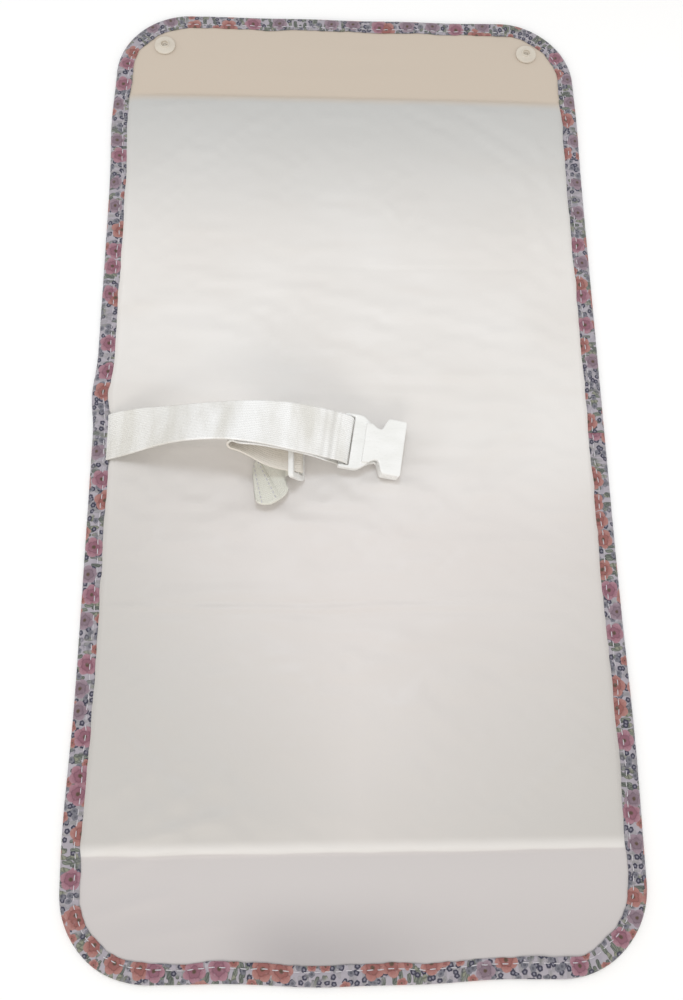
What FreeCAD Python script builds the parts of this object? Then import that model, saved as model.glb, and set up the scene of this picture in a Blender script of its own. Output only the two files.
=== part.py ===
import FreeCAD, Part
import math
import os
import re

import Sketcher
from FreeCAD import Placement, Rotation, Vector

# A folding changing pad, lying open on its back sheet. Millimetres, +Z up, +Y along the
# pad towards the end that carries the snap sockets, origin under the middle of the pad.

doc = FreeCAD.newDocument("changing_pad")

# ---------------------------------------------------------------- driving dimensions

DIMENSIONS = {
    # the pad
    "pad_width": 325,
    "pad_length": 635,
    "corner_radius": 50,
    "pad_thickness": 8,
    "sheet_thickness": 0.8,
    "fold_line": 112,
    "fold_gap": 0.4,
    "padded_end": 249,
    "foam_inset": 14,
    "foam_slope": 8,
    "shell_offset": 0.6,
    # the folded tape round the edge
    "binding_width": 11,
    "rim_cover": 1,
    "rim_reach": 14,
    # snap fasteners
    "snap_offset": 130,
    "snap_place": 290,
    "snap_radius": 7.35,
    "snap_play": 0.5,
    "post_radius": 1.5,
    "post_play": 0.1,
    "socket_height": 3.2,
    "socket_flange": 1.1,
    "socket_ring": 4.9,
    "socket_bore": 2.4,
    "socket_floor": 0.9,
    "stud_rise": 2.4,
    "stud_flange": 1,
    "stud_flange_radius": 6,
    "stud_head": 2.3,
    "stud_tip": 0.3,
    "stud_cap": 1.1,
    # the webbing
    "webbing_width": 30,
    "webbing_thickness": 1.6,
    "strap_place": -5,
    "strap_exit": 1.3,
    # the buckle socket, measured from the middle of its bar
    "buckle_bar": 1.9,
    "buckle_bar_half_height": 1.2,
    "buckle_slot": 4.6,
    "buckle_half_width": 17.7,
    "buckle_frame_half_width": 17.4,
    "buckle_waist": 9.8,
    "buckle_waist_place": 21,
    "buckle_shoulder": 8,
    "buckle_mouth_place": 25.6,
    "buckle_length": 36.4,
    "buckle_frame_half_height": 2.4,
    "buckle_housing_start": 12,
    "buckle_half_height": 4.9,
    "buckle_wall": 1.6,
    "buckle_corner": 2.5,
    "guide_width": 3,
    "guide_height": 1,
    # the tri-glide
    "glide_width": 38,
    "glide_length": 22.4,
    "glide_thickness": 3,
    "glide_bar": 2.8,
    "glide_slot": 6.7,
    "glide_slot_width": 31.4,
    "glide_corner": 3,
}

sheet = doc.addObject("Spreadsheet::Sheet", "Dims")
for row, (alias, number) in enumerate(DIMENSIONS.items(), start=1):
    sheet.set(f"A{row}", alias)
    sheet.set(f"B{row}", str(number))
    sheet.setAlias(f"B{row}", alias)
doc.recompute()


def value(alias):
    """A driving dimension as a plain number, read from the sheet."""
    return float(getattr(sheet, alias))


def bind(thing, path, formula):
    """Drives one property of an object by a formula of the sheet's aliases."""
    thing.setExpression(path, re.sub(r"[a-z][a-z_]*", r"Dims.\g<0>", formula))


# ---------------------------------------------------------------- primitives and booleans


def block(name, x, y, z):
    """A box between two formulas on each axis."""
    made = doc.addObject("Part::Box", name)
    for axis, size, (low, high) in zip("xyz", ("Length", "Width", "Height"), (x, y, z)):
        bind(made, size, f"({high}) - ({low})")
        bind(made, f"Placement.Base.{axis}", low)
    return made


def disc(name, radius, x, y, z):
    """An upright cylinder at (x, y), between the two formulas of z."""
    low, high = z
    made = doc.addObject("Part::Cylinder", name)
    bind(made, "Radius", radius)
    bind(made, "Height", f"({high}) - ({low})")
    bind(made, "Placement.Base.x", x)
    bind(made, "Placement.Base.y", y)
    bind(made, "Placement.Base.z", low)
    return made


def fuse(name, *shapes):
    made = doc.addObject("Part::MultiFuse", name)
    made.Shapes = list(shapes)
    made.Refine = True
    return made


def cut(name, base, *tools):
    made = doc.addObject("Part::Cut", name)
    made.Base = base
    made.Tool = tools[0] if len(tools) == 1 else fuse(f"{name}_tools", *tools)
    made.Refine = True
    return made


# ---------------------------------------------------------------- the pad's three panels

PANELS = ("lower", "middle", "upper")
HALF_WIDTH = "pad_width / 2"
FOLD_EDGE = "fold_line + fold_gap"
UNDERSIDE = ("0", "sheet_thickness")
RIM_BACK = ("sheet_thickness", "2 * sheet_thickness")
RIM_TOP = ("2 * sheet_thickness", "3 * sheet_thickness")
RIM = ("sheet_thickness", "3 * sheet_thickness")
BINDING_HEIGHT = "4 * sheet_thickness"


def along(panel, near, far):
    """The y range of an end panel whose distances from the pad's middle are near and far."""
    if panel == "upper":
        return near, far
    return f"-({far})", f"-({near})"


def plate(name, panel, inset, z):
    """The panel's outline, moved in from the pad's edge by inset and given the height z."""
    side = f"({HALF_WIDTH} - ({inset}))"
    if panel == "middle":
        return block(name, (f"-{side}", side), ("fold_gap - fold_line", "fold_line - fold_gap"), z)
    corner_x = "(pad_width / 2 - corner_radius)"
    corner_y = "(pad_length / 2 - corner_radius)"
    end = f"pad_length / 2 - ({inset})"
    shapes = [
        block(f"{name}_wide", (f"-{side}", side), along(panel, FOLD_EDGE, corner_y), z),
        block(f"{name}_end", (f"-{corner_x}", corner_x), along(panel, FOLD_EDGE, end), z),
    ]
    y = corner_y if panel == "upper" else f"-{corner_y}"
    for hand, x in (("left", f"-{corner_x}"), ("right", corner_x)):
        shapes.append(disc(f"{name}_{hand}", f"corner_radius - ({inset})", x, y, z))
    return fuse(name, *shapes)


def padding(name, panel, grow, z):
    """The padded block of a panel: its sides slope in, and so does the end away from the fold."""
    low, high = z
    base = f"(pad_width / 2 - foam_inset + ({grow}))"
    made = doc.addObject("Part::Wedge", name)
    made.Placement = Placement(Vector(0, 0, 0), Rotation(Vector(1, 0, 0), 90))
    bind(made, "Ymin", low)
    bind(made, "Ymax", high)
    bind(made, "Xmin", f"-{base}")
    bind(made, "Xmax", base)
    bind(made, "X2min", f"foam_slope - {base}")
    bind(made, "X2max", f"{base} - foam_slope")
    outer = f"padded_end + ({grow})"
    # the wedge's own z axis points along the pad's -y
    if panel == "middle":
        ends = {"Z": ("fold_gap - fold_line", "fold_line - fold_gap")}
        ends["Z2"] = ends["Z"]
    elif panel == "upper":
        ends = {"Z": (f"-({outer})", f"-({FOLD_EDGE})")}
        ends["Z2"] = (f"foam_slope - ({outer})", f"-({FOLD_EDGE})")
    else:
        ends = {"Z": (FOLD_EDGE, outer), "Z2": (FOLD_EDGE, f"{outer} - foam_slope")}
    for key, (near, far) in ends.items():
        bind(made, f"{key}min", near)
        bind(made, f"{key}max", far)
    return made


HANDS = {"left": "-snap_offset", "right": "snap_offset"}
STUD_PLACE = "snap_place - 2 * fold_line"
# the back sheet is pushed up into a cup over each stud, whose roof is at these heights
CUP_ROOF = ("stud_rise + stud_flange", "stud_rise + stud_flange + sheet_thickness")
CUP_RADIUS = "snap_radius + snap_play"
POST_HOLE = "post_radius + post_play"
STUD_Y = f"({STUD_PLACE} - 2 * fold_line)"


def back_sheet(panel):
    """The outer cloth: flat underneath, stepped up where the binding wraps it."""
    name = f"back_sheet_{panel}"
    field = plate(f"{name}_field", panel, "binding_width", UNDERSIDE)
    rim = cut(
        f"{name}_rim",
        plate(f"{name}_rim_outer", panel, "rim_cover", RIM_BACK),
        plate(f"{name}_rim_inner", panel, "rim_reach", RIM_BACK),
    )
    raised = [field, rim]
    holes = []
    for hand, x in HANDS.items():
        if panel == "upper":
            lift = f"{CUP_RADIUS} + sheet_thickness"
            lift_height = (UNDERSIDE[0], RIM_BACK[1])
            raised.append(disc(f"{name}_lift_{hand}", lift, x, "snap_place", lift_height))
            holes.append(disc(f"{name}_cap_seat_{hand}", CUP_RADIUS, x, "snap_place", UNDERSIDE))
            holes.append(disc(f"{name}_post_hole_{hand}", POST_HOLE, x, "snap_place", RIM_BACK))
        if panel == "lower":
            wall = f"{CUP_RADIUS} + sheet_thickness"
            raised.append(disc(f"{name}_cup_{hand}", wall, x, STUD_Y, ("0", CUP_ROOF[1])))
            holes.append(disc(f"{name}_hollow_{hand}", CUP_RADIUS, x, STUD_Y, ("0", CUP_ROOF[0])))
            holes.append(disc(f"{name}_post_hole_{hand}", POST_HOLE, x, STUD_Y, CUP_ROOF))
    whole = fuse(f"{name}_whole" if holes else name, *raised)
    return cut(name, whole, *holes) if holes else whole


FOAM = ("sheet_thickness", "pad_thickness - sheet_thickness")


def foam_core(panel):
    """The padding between the two sheets, with a pocket over each stud."""
    name = f"foam_core_{panel}"
    if panel != "lower":
        return padding(name, panel, "0", FOAM)
    pockets = []
    for hand, x in HANDS.items():
        room = (FOAM[0], f"{CUP_ROOF[1]} + stud_cap")
        pockets.append(disc(f"{name}_pocket_{hand}", f"{CUP_RADIUS} + sheet_thickness", x, STUD_Y, room))
    return cut(name, padding(f"{name}_block", panel, "0", FOAM), *pockets)


def top_sheet(panel):
    """The wipe-clean sheet: flat at the rim, raised in a shell over the padding."""
    name = f"top_sheet_{panel}"
    cloth = fuse(
        f"{name}_cloth",
        plate(f"{name}_field", panel, "rim_cover", RIM_TOP),
        padding(f"{name}_shell", panel, "shell_offset", (RIM_TOP[0], "pad_thickness")),
    )
    tools = [padding(f"{name}_inside", panel, "0", FOAM)]
    if panel == "upper":
        for hand, x in HANDS.items():
            tools.append(disc(f"{name}_post_hole_{hand}", POST_HOLE, x, "snap_place", RIM_TOP))
    return cut(name, cloth, *tools)


def binding(panel):
    """The tape folded round the edge of both sheets of an end panel."""
    name = f"binding_{panel}"
    return cut(
        name,
        plate(f"{name}_outer", panel, "0", ("0", BINDING_HEIGHT)),
        plate(f"{name}_inner", panel, "binding_width", ("0", BINDING_HEIGHT)),
        plate(f"{name}_groove", panel, "rim_cover", RIM),
    )


STRAP_SIDES = ("strap_place - webbing_width / 2", "strap_place + webbing_width / 2")
SEWN_LAYER = ("3 * sheet_thickness", "3 * sheet_thickness + webbing_thickness")


def side_binding(hand):
    """The tape along one side of the middle panel; the left one also covers the strap's end."""
    name = f"binding_middle_{hand}"
    lengthwise = ("fold_gap - fold_line", "fold_line - fold_gap")
    if hand == "left":
        across = ("-pad_width / 2", "binding_width - pad_width / 2")
        groove = ("rim_cover - pad_width / 2", "binding_width - pad_width / 2")
    else:
        across = ("pad_width / 2 - binding_width", "pad_width / 2")
        groove = ("pad_width / 2 - binding_width", "pad_width / 2 - rim_cover")
    tape = block(f"{name}_tape", across, lengthwise, ("0", BINDING_HEIGHT))
    slit = block(f"{name}_groove", groove, lengthwise, RIM)
    if hand == "right":
        return cut(name, tape, slit)
    low, high = STRAP_SIDES
    hump = (f"{low} - sheet_thickness", f"{high} + sheet_thickness")
    cover = block(f"{name}_cover", across, hump, ("0", f"{SEWN_LAYER[1]} + sheet_thickness"))
    seat = block(f"{name}_seat", groove, STRAP_SIDES, SEWN_LAYER)
    return cut(name, fuse(f"{name}_raised", tape, cover), slit, seat)


def strap_sewn_end():
    """The end of the webbing that is caught in the seam under the binding."""
    across = ("rim_cover - pad_width / 2", "binding_width + strap_exit - pad_width / 2")
    return block("strap_sewn_end", across, STRAP_SIDES, SEWN_LAYER)


# ---------------------------------------------------------------- sketched bodies

ORIGIN_POINT = (-1, 1)


def new_body(name):
    return doc.addObject("PartDesign::Body", name)


def sketch_on(body, name, role):
    """An empty sketch on one of the body's own origin planes."""
    made = body.newObject("Sketcher::SketchObject", name)
    plane = next(f for f in body.Origin.OriginFeatures if f.Role == role)
    made.AttachmentSupport = [(plane, "")]
    made.MapMode = "FlatFace"
    return made


def outline(made, points):
    """Closes straight lines through the points, each held at the two formulas it is given by."""
    count = len(points)
    for index in range(count):
        # spread the first guess on a circle, so that no two points start in one place
        turn = 2 * math.pi * index / count
        ahead = 2 * math.pi * (index + 1) / count
        start = Vector(20 * math.cos(turn), 20 * math.sin(turn), 0)
        stop = Vector(20 * math.cos(ahead), 20 * math.sin(ahead), 0)
        made.addGeometry(Part.LineSegment(start, stop), False)
    for index in range(count):
        made.addConstraint(Sketcher.Constraint("Coincident", index, 2, (index + 1) % count, 1))
    for index, formulas in enumerate(points):
        for kind, formula in zip(("DistanceX", "DistanceY"), formulas):
            place = made.addConstraint(Sketcher.Constraint(kind, *ORIGIN_POINT, index, 1, 1.0))
            bind(made, f"Constraints[{place}]", formula)


def rectangle(made, x, y):
    """A closed rectangle between two formulas on each axis."""
    outline(made, [(x[0], y[0]), (x[1], y[0]), (x[1], y[1]), (x[0], y[1])])


def turned(name, points):
    """A body turned about its own Z axis from a profile of (radius, height) formulas."""
    body = new_body(name)
    made = sketch_on(body, f"{name}_profile", "XZ_Plane")
    outline(made, points)
    spin = body.newObject("PartDesign::Revolution", f"{name}_turn")
    spin.Profile = made
    spin.ReferenceAxis = (made, ["V_Axis"])
    spin.Angle = 360
    return body


def raise_both(body, name, made, half_height):
    """A pad of a sketch, as far above its plane as below it."""
    grown = body.newObject("PartDesign::Pad", name)
    grown.Profile = made
    grown.Midplane = True
    bind(grown, "Length", f"2 * ({half_height})")
    return grown


def pocket_both(body, name, made, half_height):
    """A pocket of a sketch, as far above its plane as below it."""
    hollow = body.newObject("PartDesign::Pocket", name)
    hollow.Profile = made
    hollow.Midplane = True
    bind(hollow, "Length", f"2 * ({half_height})")
    return hollow


def upright_edges(shape, test):
    """The names of the shape's straight edges along Z whose middle passes the test."""
    names = []
    for number, edge in enumerate(shape.Edges, start=1):
        ends = [vertex.Point for vertex in edge.Vertexes]
        if len(ends) != 2 or not isinstance(edge.Curve, Part.Line):
            continue
        if abs((ends[1] - ends[0]).normalize().z) > 0.999 and test((ends[0] + ends[1]) / 2):
            names.append(f"Edge{number}")
    return names


# ---------------------------------------------------------------- snap fasteners


def snap_socket(hand):
    """The socket half: a flange, a raised ring, and a bore that the stud's head clicks into."""
    return turned(
        f"snap_socket_{hand}",
        [
            (POST_HOLE, "0"),
            ("snap_radius", "0"),
            ("snap_radius", "socket_flange * 0.6"),
            ("snap_radius - 0.6", "socket_flange"),
            ("socket_ring + 0.5", "socket_flange"),
            ("socket_ring", "socket_height"),
            ("socket_bore + 0.4", "socket_height"),
            ("socket_bore", "socket_height - 0.4"),
            ("socket_bore", "socket_floor"),
            (POST_HOLE, "socket_floor"),
        ],
    )


def snap_cap(hand):
    """The cap on the back of a socket, with the post that goes through both sheets."""
    return turned(
        f"snap_cap_{hand}",
        [
            ("0", "0"),
            ("snap_radius - 0.4", "0"),
            ("snap_radius", "sheet_thickness / 2"),
            ("snap_radius", "sheet_thickness"),
            ("post_radius", "sheet_thickness"),
            ("post_radius", "3 * sheet_thickness + socket_floor"),
            ("0", "3 * sheet_thickness + socket_floor"),
        ],
    )


def snap_stud(hand):
    """The stud half, head down: a flange against the cup's roof and a waisted round head."""
    return turned(
        f"snap_stud_{hand}",
        [
            ("0", "stud_tip"),
            ("stud_head - 0.7", "stud_tip"),
            ("stud_head", "stud_tip + 0.7"),
            ("stud_head", "stud_tip + 1.1"),
            ("stud_head - 0.5", "stud_rise"),
            ("stud_flange_radius", "stud_rise"),
            ("stud_flange_radius", "stud_rise + stud_flange"),
            (POST_HOLE, "stud_rise + stud_flange"),
            (POST_HOLE, "stud_rise"),
            ("0", "stud_rise"),
        ],
    )


def stud_cap(hand):
    """The cap inside the padding that holds a stud, with its post pointing down."""
    return turned(
        f"stud_cap_{hand}",
        [
            ("0", "stud_rise"),
            ("post_radius", "stud_rise"),
            ("post_radius", CUP_ROOF[1]),
            ("snap_radius", CUP_ROOF[1]),
            ("snap_radius", f"{CUP_ROOF[1]} + stud_cap"),
            ("0", f"{CUP_ROOF[1]} + stud_cap"),
        ],
    )


# ---------------------------------------------------------------- the strap's path

# Places along the middle of the webbing: x, y, z, the roll about its length and the yaw about
# Z in degrees. A positive roll lifts the edge on the -y side.
BUCKLE_BAR = Vector(-6.0, -11.3, 19.0)
GLIDE_BAR = Vector(-35.0, -17.5, 22.2)
BUCKLE_YAW = -9.0
BUCKLE_PITCH = -7.0
GLIDE_ROLL = -8.0
GLIDE_LEAN = 19.0
BUCKLE_LOOP = 3.4
GLIDE_LOOP = 3.3

OUTGOING = (
    (-149.7, -5.0, 6.6, 0, 0),
    (-142.0, -5.2, 12.0, 1, -2),
    (-132.0, -5.5, 19.0, 8, -2),
    (-120.0, -6.0, 26.8, 17, -3),
    (-106.0, -6.7, 34.8, 24, -3),
    (-90.0, -7.6, 42.3, 26, -3),
    (-73.0, -8.4, 46.6, 24, -3),
    (-57.0, -9.1, 46.4, 17, -3),
    (-43.0, -9.8, 43.2, 9, -3),
    (-32.0, -10.3, 39.0, 4, -4),
    (-22.0, -10.8, 34.2, 1, -6),
    (-13.0, -11.1, 28.6, 0, -8),
)
RETURNING = (
    (-15.0, -11.0, 23.4, 0, -8),
    (-24.0, -10.7, 31.5, 1, -6),
    (-34.0, -10.3, 37.1, 4, -4),
    (-45.0, -9.8, 40.7, 10, -3),
    (-58.0, -9.3, 43.0, 17, -3),
    (-68.0, -9.2, 43.3, 22, -3),
)
TURN_BACK_CENTRE = Vector(-70.0, -9.6, 39.7)
TURN_BACK_RADIUS = 3.8
TURN_BACK_ROLL = 22.0
TURN_BACK_YAW = -3.0
INWARD = (
    (-62.0, -12.4, 34.6, 12, -6),
    (-52.0, -15.8, 31.0, -1, -5),
    (-43.5, -17.3, 27.5, -8, 0),
)
TAIL = (
    (-42.5, -19.0, 18.0, -9, 4),
    (-44.7, -22.8, 16.8, -8, 14),
    (-46.8, -28.0, 15.7, -3, 27),
    (-50.2, -33.2, 14.9, 5, 30),
    (-55.0, -37.2, 14.5, 11, 20),
    (-61.0, -39.2, 14.2, 14, 6),
)


def rolled(roll, yaw):
    """The directions along, across and out of a webbing that lies level but for a roll and a yaw."""
    turn = Rotation(Vector(0, 0, 1), yaw).multiply(Rotation(Vector(1, 0, 0), -roll))
    return (
        turn.multVec(Vector(1, 0, 0)),
        turn.multVec(Vector(0, 1, 0)),
        turn.multVec(Vector(0, 0, 1)),
    )


def free_run(rows):
    """Stations of a run that is given by its points."""
    return [(Vector(x, y, z), rolled(roll, yaw)[1]) for x, y, z, roll, yaw in rows]


def bend(centre, radius, first, last, steps, roll, yaw):
    """Stations of a bend round a centre, from one angle to another, seen along the webbing's width."""
    ahead, across, out = rolled(roll, yaw)
    stations = []
    for step in range(steps + 1):
        angle = math.radians(first + (last - first) * step / steps)
        place = centre + ahead * (radius * math.cos(angle)) + out * (radius * math.sin(angle))
        stations.append((place, across))
    return stations


def strap_stations():
    """The whole strap: out, round the buckle's bar, back, round the tri-glide's bar, and the tail."""
    return (
        free_run(OUTGOING)
        + bend(BUCKLE_BAR, BUCKLE_LOOP, 50, -130, 9, 0, BUCKLE_YAW)
        + free_run(RETURNING)
        + bend(TURN_BACK_CENTRE, TURN_BACK_RADIUS, 110, 270, 5, TURN_BACK_ROLL, TURN_BACK_YAW)
        + free_run(INWARD)
        + bend(GLIDE_BAR, GLIDE_LOOP, 66, -80, 8, GLIDE_ROLL, 0)
        + free_run(TAIL)
    )


def strap_webbing():
    """The webbing as one band, ruled between its cross-sections."""
    stations = strap_stations()
    half_width = value("webbing_width") / 2
    half_thickness = value("webbing_thickness") / 2
    sections = []
    for index, (place, across) in enumerate(stations):
        before = stations[max(index - 1, 0)][0]
        after = stations[min(index + 1, len(stations) - 1)][0]
        ahead = (after - before).normalize()
        out = ahead.cross(across).normalize()
        corners = [
            place + across * (half_width * a) + out * (half_thickness * b)
            for a, b in ((-1, -1), (1, -1), (1, 1), (-1, 1))
        ]
        sections.append(Part.makePolygon(corners + corners[:1]))
    length = sum((b[0] - a[0]).Length for a, b in zip(stations, stations[1:]))
    made = doc.addObject("Part::Feature", "strap_webbing")
    made.Shape = Part.makeLoft(sections, True, True)
    band = length * 4 * half_width * half_thickness
    print(f"webbing: {length:.1f} mm long, volume {made.Shape.Volume / band:.3f} of its section's")
    return made


# ---------------------------------------------------------------- buckle socket and tri-glide

CURVE_STEPS = 5


def eased(start, stop):
    """Points of a half-wave from one (place, half-width) pair of formulas to another."""
    points = []
    for step in range(CURVE_STEPS + 1):
        share = step / CURVE_STEPS
        rise = round((1 - math.cos(math.pi * share)) / 2, 4)
        place = f"{start[0]} + {share} * ({stop[0]} - {start[0]})"
        points.append((place, f"{start[1]} + {rise} * ({stop[1]} - {start[1]})"))
    return points


def buckle_socket():
    """The socket half of a side-release buckle: bar and frame, waist with windows, and mouth."""
    body = new_body("buckle_socket")
    wide = "buckle_half_width"
    # the sides draw in to the waist and swell out again to the mouth, each time in a smooth curve
    narrowing = eased(("buckle_shoulder", "buckle_frame_half_width"), ("buckle_waist_place", "buckle_waist"))
    widening = eased(("buckle_waist_place", "buckle_waist"), ("buckle_mouth_place", wide))
    curve = narrowing + widening[1:]
    plan = [("-buckle_bar", "buckle_frame_half_width")] + curve + [("buckle_length", wide)]

    def mirrored(points):
        return points + [(x, f"-({y})") for x, y in reversed(points)]

    frame = sketch_on(body, "buckle_frame_plan", "XY_Plane")
    outline(frame, mirrored(plan))
    raise_both(body, "buckle_frame", frame, "buckle_frame_half_height")
    housing = sketch_on(body, "buckle_housing_plan", "XY_Plane")
    outline(housing, mirrored([("buckle_housing_start", "buckle_waist + 2.8")] + plan[4:]))
    raise_both(body, "buckle_housing", housing, "buckle_half_height")
    slot = sketch_on(body, "buckle_slot_plan", "XY_Plane")
    reach = "webbing_width / 2 + 0.7"
    rectangle(slot, ("-buckle_bar - 1", "buckle_slot"), (f"-({reach})", reach))
    pocket_both(body, "buckle_slot_cut", slot, "buckle_half_height")
    bar = sketch_on(body, "buckle_bar_plan", "XY_Plane")
    rectangle(bar, ("-buckle_bar", "buckle_bar"), (f"-({reach}) - 1", f"{reach} + 1"))
    raise_both(body, "buckle_bar_pad", bar, "buckle_bar_half_height")
    mouth = sketch_on(body, "buckle_mouth_plan", "XY_Plane")
    inside = f"{wide} - buckle_wall"
    throat = "buckle_waist - buckle_wall"
    cavity = [
        ("buckle_housing_start + buckle_wall", throat),
        ("buckle_waist_place + 1", throat),
        ("buckle_mouth_place + 1", inside),
        ("buckle_length + 1", inside),
    ]
    outline(mouth, mirrored(cavity))
    pocket_both(body, "buckle_mouth_cut", mouth, "buckle_half_height - buckle_wall")
    windows = sketch_on(body, "buckle_window_plan", "XY_Plane")
    outside = f"{wide} + 1"
    rectangle(windows, ("buckle_waist_place - 5", "buckle_waist_place + 1"), (f"-({outside})", outside))
    pocket_both(body, "buckle_window_cut", windows, "buckle_frame_half_height - 0.5")
    guide = sketch_on(body, "buckle_guide_plan", "XZ_Plane")
    shelf = "buckle_half_height - buckle_wall - guide_height"
    guide_run = ("buckle_housing_start + buckle_wall", "buckle_length - 6")
    rectangle(guide, guide_run, (shelf, "buckle_half_height - 0.5"))
    rail = body.newObject("PartDesign::Pad", "buckle_guide")
    rail.Profile = guide
    rail.Midplane = True
    bind(rail, "Length", "guide_width")
    doc.recompute()
    corners = body.newObject("PartDesign::Fillet", "buckle_rounding")
    frame_edge = value("buckle_frame_half_width") - 0.1
    front = value("buckle_length") - 0.1
    names = upright_edges(rail.Shape, lambda p: abs(p.y) > frame_edge and (p.x > front or p.x < 0))
    corners.Base = (rail, names)
    bind(corners, "Radius", "buckle_corner / 2")
    lie = Rotation(Vector(0, 0, 1), BUCKLE_YAW).multiply(Rotation(Vector(0, 1, 0), -BUCKLE_PITCH))
    body.Placement = Placement(BUCKLE_BAR, lie)
    return body


def triglide():
    """The adjuster: a flat frame with two slots and a bar between them."""
    body = new_body("triglide")
    frame = sketch_on(body, "triglide_plan", "XY_Plane")
    rectangle(frame, ("-glide_length / 2", "glide_length / 2"), ("-glide_width / 2", "glide_width / 2"))
    solid = raise_both(body, "triglide_frame", frame, "glide_thickness / 2")
    doc.recompute()
    corners = body.newObject("PartDesign::Fillet", "triglide_rounding")
    corners.Base = (solid, upright_edges(solid.Shape, lambda p: True))
    bind(corners, "Radius", "glide_corner")
    reach = "glide_slot_width / 2"
    for end, sign in (("near", ""), ("far", "-")):
        slot = sketch_on(body, f"triglide_slot_{end}_plan", "XY_Plane")
        inner = f"{sign}(glide_bar / 2)"
        outer = f"{sign}(glide_bar / 2 + glide_slot)"
        rectangle(slot, (inner, outer), (f"-({reach})", reach))
        pocket_both(body, f"triglide_slot_{end}", slot, "glide_thickness")
    # it stands on edge, its top leaning towards -x, with its width along the bar
    stand = Rotation(Vector(1, 0, 0), -GLIDE_ROLL).multiply(Rotation(Vector(0, 1, 0), 90 - GLIDE_LEAN))
    body.Placement = Placement(GLIDE_BAR, stand)
    return body


# ---------------------------------------------------------------- build, check and write

pieces = []
for panel in PANELS:
    pieces += [back_sheet(panel), foam_core(panel), top_sheet(panel)]
pieces += [binding("lower"), binding("upper"), side_binding("left"), side_binding("right")]
pieces.append(strap_sewn_end())
for hand, sign in (("left", -1), ("right", 1)):
    socket_place = Vector(sign * value("snap_offset"), value("snap_place"), 0)
    stud_place = Vector(socket_place.x, value("snap_place") - 4 * value("fold_line"), 0)
    cap = snap_cap(hand)
    cap.Placement.Base = socket_place
    socket = snap_socket(hand)
    socket.Placement.Base = socket_place + Vector(0, 0, 3 * value("sheet_thickness"))
    stud = snap_stud(hand)
    stud.Placement.Base = stud_place
    hidden = stud_cap(hand)
    hidden.Placement.Base = stud_place
    pieces += [cap, socket, stud, hidden]
pieces += [strap_webbing(), buckle_socket(), triglide()]

doc.recompute()
for thing in doc.Objects:
    wrong = {"Invalid", "Error"} & set(thing.State)
    if wrong:
        raise RuntimeError(f"{thing.Name}: {sorted(wrong)}")
for piece in pieces:
    if piece.Shape.isNull() or not piece.Shape.isValid() or not piece.Shape.Solids:
        raise RuntimeError(f"{piece.Name}: no valid solid")

os.makedirs("parts", exist_ok=True)
for piece in pieces:
    piece.Label = piece.Name
    piece.Shape.exportStep(os.path.join("parts", f"{piece.Label}.step"))
    box = piece.Shape.BoundBox
    print(
        f"{piece.Label}: {len(piece.Shape.Solids)} solid, {piece.Shape.Volume:.0f} mm3, "
        f"x {box.XMin:.1f} {box.XMax:.1f}, y {box.YMin:.1f} {box.YMax:.1f}, "
        f"z {box.ZMin:.1f} {box.ZMax:.1f}"
    )
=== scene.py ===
import math

import bpy
import numpy as np
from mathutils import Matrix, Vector


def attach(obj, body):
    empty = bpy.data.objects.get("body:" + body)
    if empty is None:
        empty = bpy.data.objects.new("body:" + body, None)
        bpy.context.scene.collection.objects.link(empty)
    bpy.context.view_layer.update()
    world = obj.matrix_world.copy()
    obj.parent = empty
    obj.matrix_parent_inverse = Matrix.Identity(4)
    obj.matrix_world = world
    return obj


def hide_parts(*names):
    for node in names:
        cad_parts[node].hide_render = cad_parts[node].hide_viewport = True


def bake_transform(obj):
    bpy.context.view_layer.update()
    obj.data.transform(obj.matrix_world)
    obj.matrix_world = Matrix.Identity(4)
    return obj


# The changing pad, lying open. Metres, +Z up, the same frame as the CAD.

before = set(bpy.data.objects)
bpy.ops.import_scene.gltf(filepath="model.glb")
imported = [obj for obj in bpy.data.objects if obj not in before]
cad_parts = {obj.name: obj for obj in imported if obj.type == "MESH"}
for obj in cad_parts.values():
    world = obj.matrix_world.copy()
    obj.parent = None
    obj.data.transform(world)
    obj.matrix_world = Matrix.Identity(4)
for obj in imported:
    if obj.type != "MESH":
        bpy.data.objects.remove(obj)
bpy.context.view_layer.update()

MM = 0.001
HALF_WIDTH = 162.5 * MM
HALF_LENGTH = 317.5 * MM
CORNER = 50 * MM
TAPE_WIDTH = 11 * MM
RIM_TOP = 2.4 * MM
PAD_TOP = 8 * MM
PADDED_HALF_WIDTH = 149.1 * MM
PADDED_HALF_LENGTH = 249.6 * MM
SNAP_X = 130 * MM
SOCKET_Y = 290 * MM
STUD_Y = -158 * MM
STRAP_Y = -5 * MM
STRAP_HALF_WIDTH = 15 * MM
HUMP_RISE = 1.6 * MM
# the webbing's creases beside the buckle, by distance from its sewn end, and where it shows its
# other face and then becomes the tail; all three stretches carry painted shade
CREASE_START = 153 * MM
CREASE_END = 168 * MM
CREASE_PITCH = 6.4 * MM
UNDERSIDE_START = 256 * MM
TAIL_START = 306 * MM


# ---------------------------------------------------------------- camera, light and floor

CAMERA_PLACE = (-0.0308, -0.1783, 0.5116)
CAMERA_TURN = (14.72, -2.50, -0.56)
SENSOR_WIDTH = 36
LENS = 30.6


def make_camera():
    data = bpy.data.cameras.new("camera")
    data.sensor_width = SENSOR_WIDTH
    data.lens = LENS
    data.clip_start = 0.01
    camera = bpy.data.objects.new("camera", data)
    camera.location = CAMERA_PLACE
    camera.rotation_euler = [math.radians(angle) for angle in CAMERA_TURN]
    bpy.context.scene.collection.objects.link(camera)
    bpy.context.scene.camera = camera


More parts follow.
